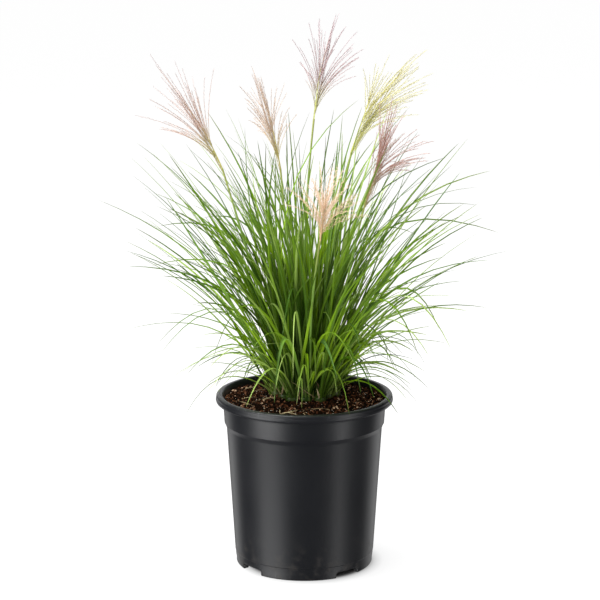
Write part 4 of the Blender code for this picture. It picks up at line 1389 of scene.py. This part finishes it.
# %% Paint the flower heads
# For each head: its colour at the foot, in the middle and at the tips, and the colour of its hairs
FLOWER_COLOURS = {
    "plume_1": ((0.50, 0.48, 0.09), (0.54, 0.35, 0.25), (0.44, 0.36, 0.36), (0.64, 0.56, 0.56)),
    "plume_2": ((0.52, 0.46, 0.12), (0.58, 0.40, 0.26), (0.48, 0.38, 0.34), (0.64, 0.55, 0.50)),
    "plume_3": ((0.42, 0.46, 0.10), (0.38, 0.23, 0.21), (0.38, 0.27, 0.30), (0.54, 0.43, 0.45)),
    "plume_4": ((0.48, 0.48, 0.10), (0.56, 0.52, 0.17), (0.52, 0.49, 0.26), (0.66, 0.63, 0.44)),
    "plume_5": ((0.36, 0.27, 0.10), (0.34, 0.14, 0.09), (0.42, 0.26, 0.23), (0.54, 0.40, 0.37)),
    "plume_6": ((0.66, 0.44, 0.22), (0.78, 0.54, 0.34), (0.82, 0.62, 0.46), (0.88, 0.75, 0.64)),
}


def paint_flower(name, foot, middle, tips, silk):
    finish, place = new_finish(name + "_silk", {"Roughness": 0.7, "Specular IOR Level": 0.3, "Sheen Weight": 0.25})
    silky, _, _ = split(place, "grain")
    tone, along = attribute(place, "tone"), attribute(place, "along")
    base = ramp(along, (0.14, *foot), (0.40, *middle), (0.95, *tips))
    toned = mixed(0.55 * (1 - tone), base, [0.40 * channel for channel in middle])
    return wire_up(finish, {"Base Color": mixed(silky * 0.7, toned, silk)})


for name, colours in FLOWER_COLOURS.items():
    dress(heads[name], paint_flower(name, *colours), name + "_flower", [name])

# %% [markdown]
# ## Litter
# A clump that has stood for a season drops bits of itself: dry strips lie on the mix, and the stubs of dead leaves
# stand between the green shoots. They are the same blade as before, only short, thin and rolled.

# %% Scatter the litter
STRANDS = 16
STRAND_LENGTH = (0.014, 0.040)
STRAND_WIDTH = (0.0008, 0.0018)
STRAND_RING = (0.058, 0.088)
STRAND_LIMIT = 0.092
# How far a strand's ends and its middle lie over the mix, and how far it bends aside, as a share of its length
STRAND_LIFT = (0.0012, 0.0025)
STRAND_BEND = 0.2
STUBS = 90
STUB_LENGTH = (0.010, 0.034)
STUB_WIDTH = (0.0014, 0.0030)
STUB_SHIFT = 0.003
STUB_LEAN = 0.5
STUB_BEND = 0.002
# Stubs stand by the first of each tuft's roots
STUB_ROOTS = 11
LITTER_ROLL = 2.0

litter = Crowd()
for _ in range(STRANDS):
    bearing, away, turn = draw.uniform(0, math.tau), draw.uniform(*STRAND_RING), draw.uniform(0, math.tau)
    root = np.array((away * math.cos(bearing), away * math.sin(bearing), 0))
    length = draw.uniform(*STRAND_LENGTH)
    tip = root + length * np.array((math.cos(turn), math.sin(turn), 0))
    tip *= min(1.0, STRAND_LIMIT / np.linalg.norm(tip))
    for end in (root, tip):
        end[2] = ground_at(*end[:2]) + STRAND_LIFT[0]
    pull = (root + tip) / 2 + length * STRAND_BEND * draw.normal(size=3) * (1, 1, 0) + (0, 0, STRAND_LIFT[1])
    arc = Arc(root, pull, tip, draw.uniform(*STRAND_WIDTH), LITTER_ROLL * draw.normal(size=2))
    litter.add(blade, bent(arc, blade), tone=draw.uniform())
for _ in range(STUBS):
    root = tuft_arcs[tuft_names[draw.integers(len(tuft_names))]][draw.integers(STUB_ROOTS)].root
    root = root + (*STUB_SHIFT * draw.normal(size=2), 0)
    lean = STUB_LEAN * draw.normal(size=2)
    tip = root + draw.uniform(*STUB_LENGTH) * np.array((*lean, 1.0))
    arc = Arc(root, (root + tip) / 2 + STUB_BEND * draw.normal(size=3), tip, draw.uniform(*STUB_WIDTH))
    litter.add(blade, bent(arc, blade), tone=draw.uniform())
dry_litter = litter.build("dry_litter", 40)
print(len(litter.copies), "dry strips and stubs")

# %% Paint the litter
straw, place = new_finish("straw", {"Roughness": 0.7, "Specular IOR Level": 0.3})
tone = attribute(place, "tone")
fibre = noise(place, 500, 3)
wire_up(straw, {
    "Base Color": mixed(tone * 0.7 + 0.3 * fibre, (0.16, 0.10, 0.045), (0.50, 0.42, 0.24)),
})
dress(dry_litter, straw, "potting_mix")

# %% Show the sizes, and finish
[[list(corner) for corner in box] for box in (packed_box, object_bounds())]
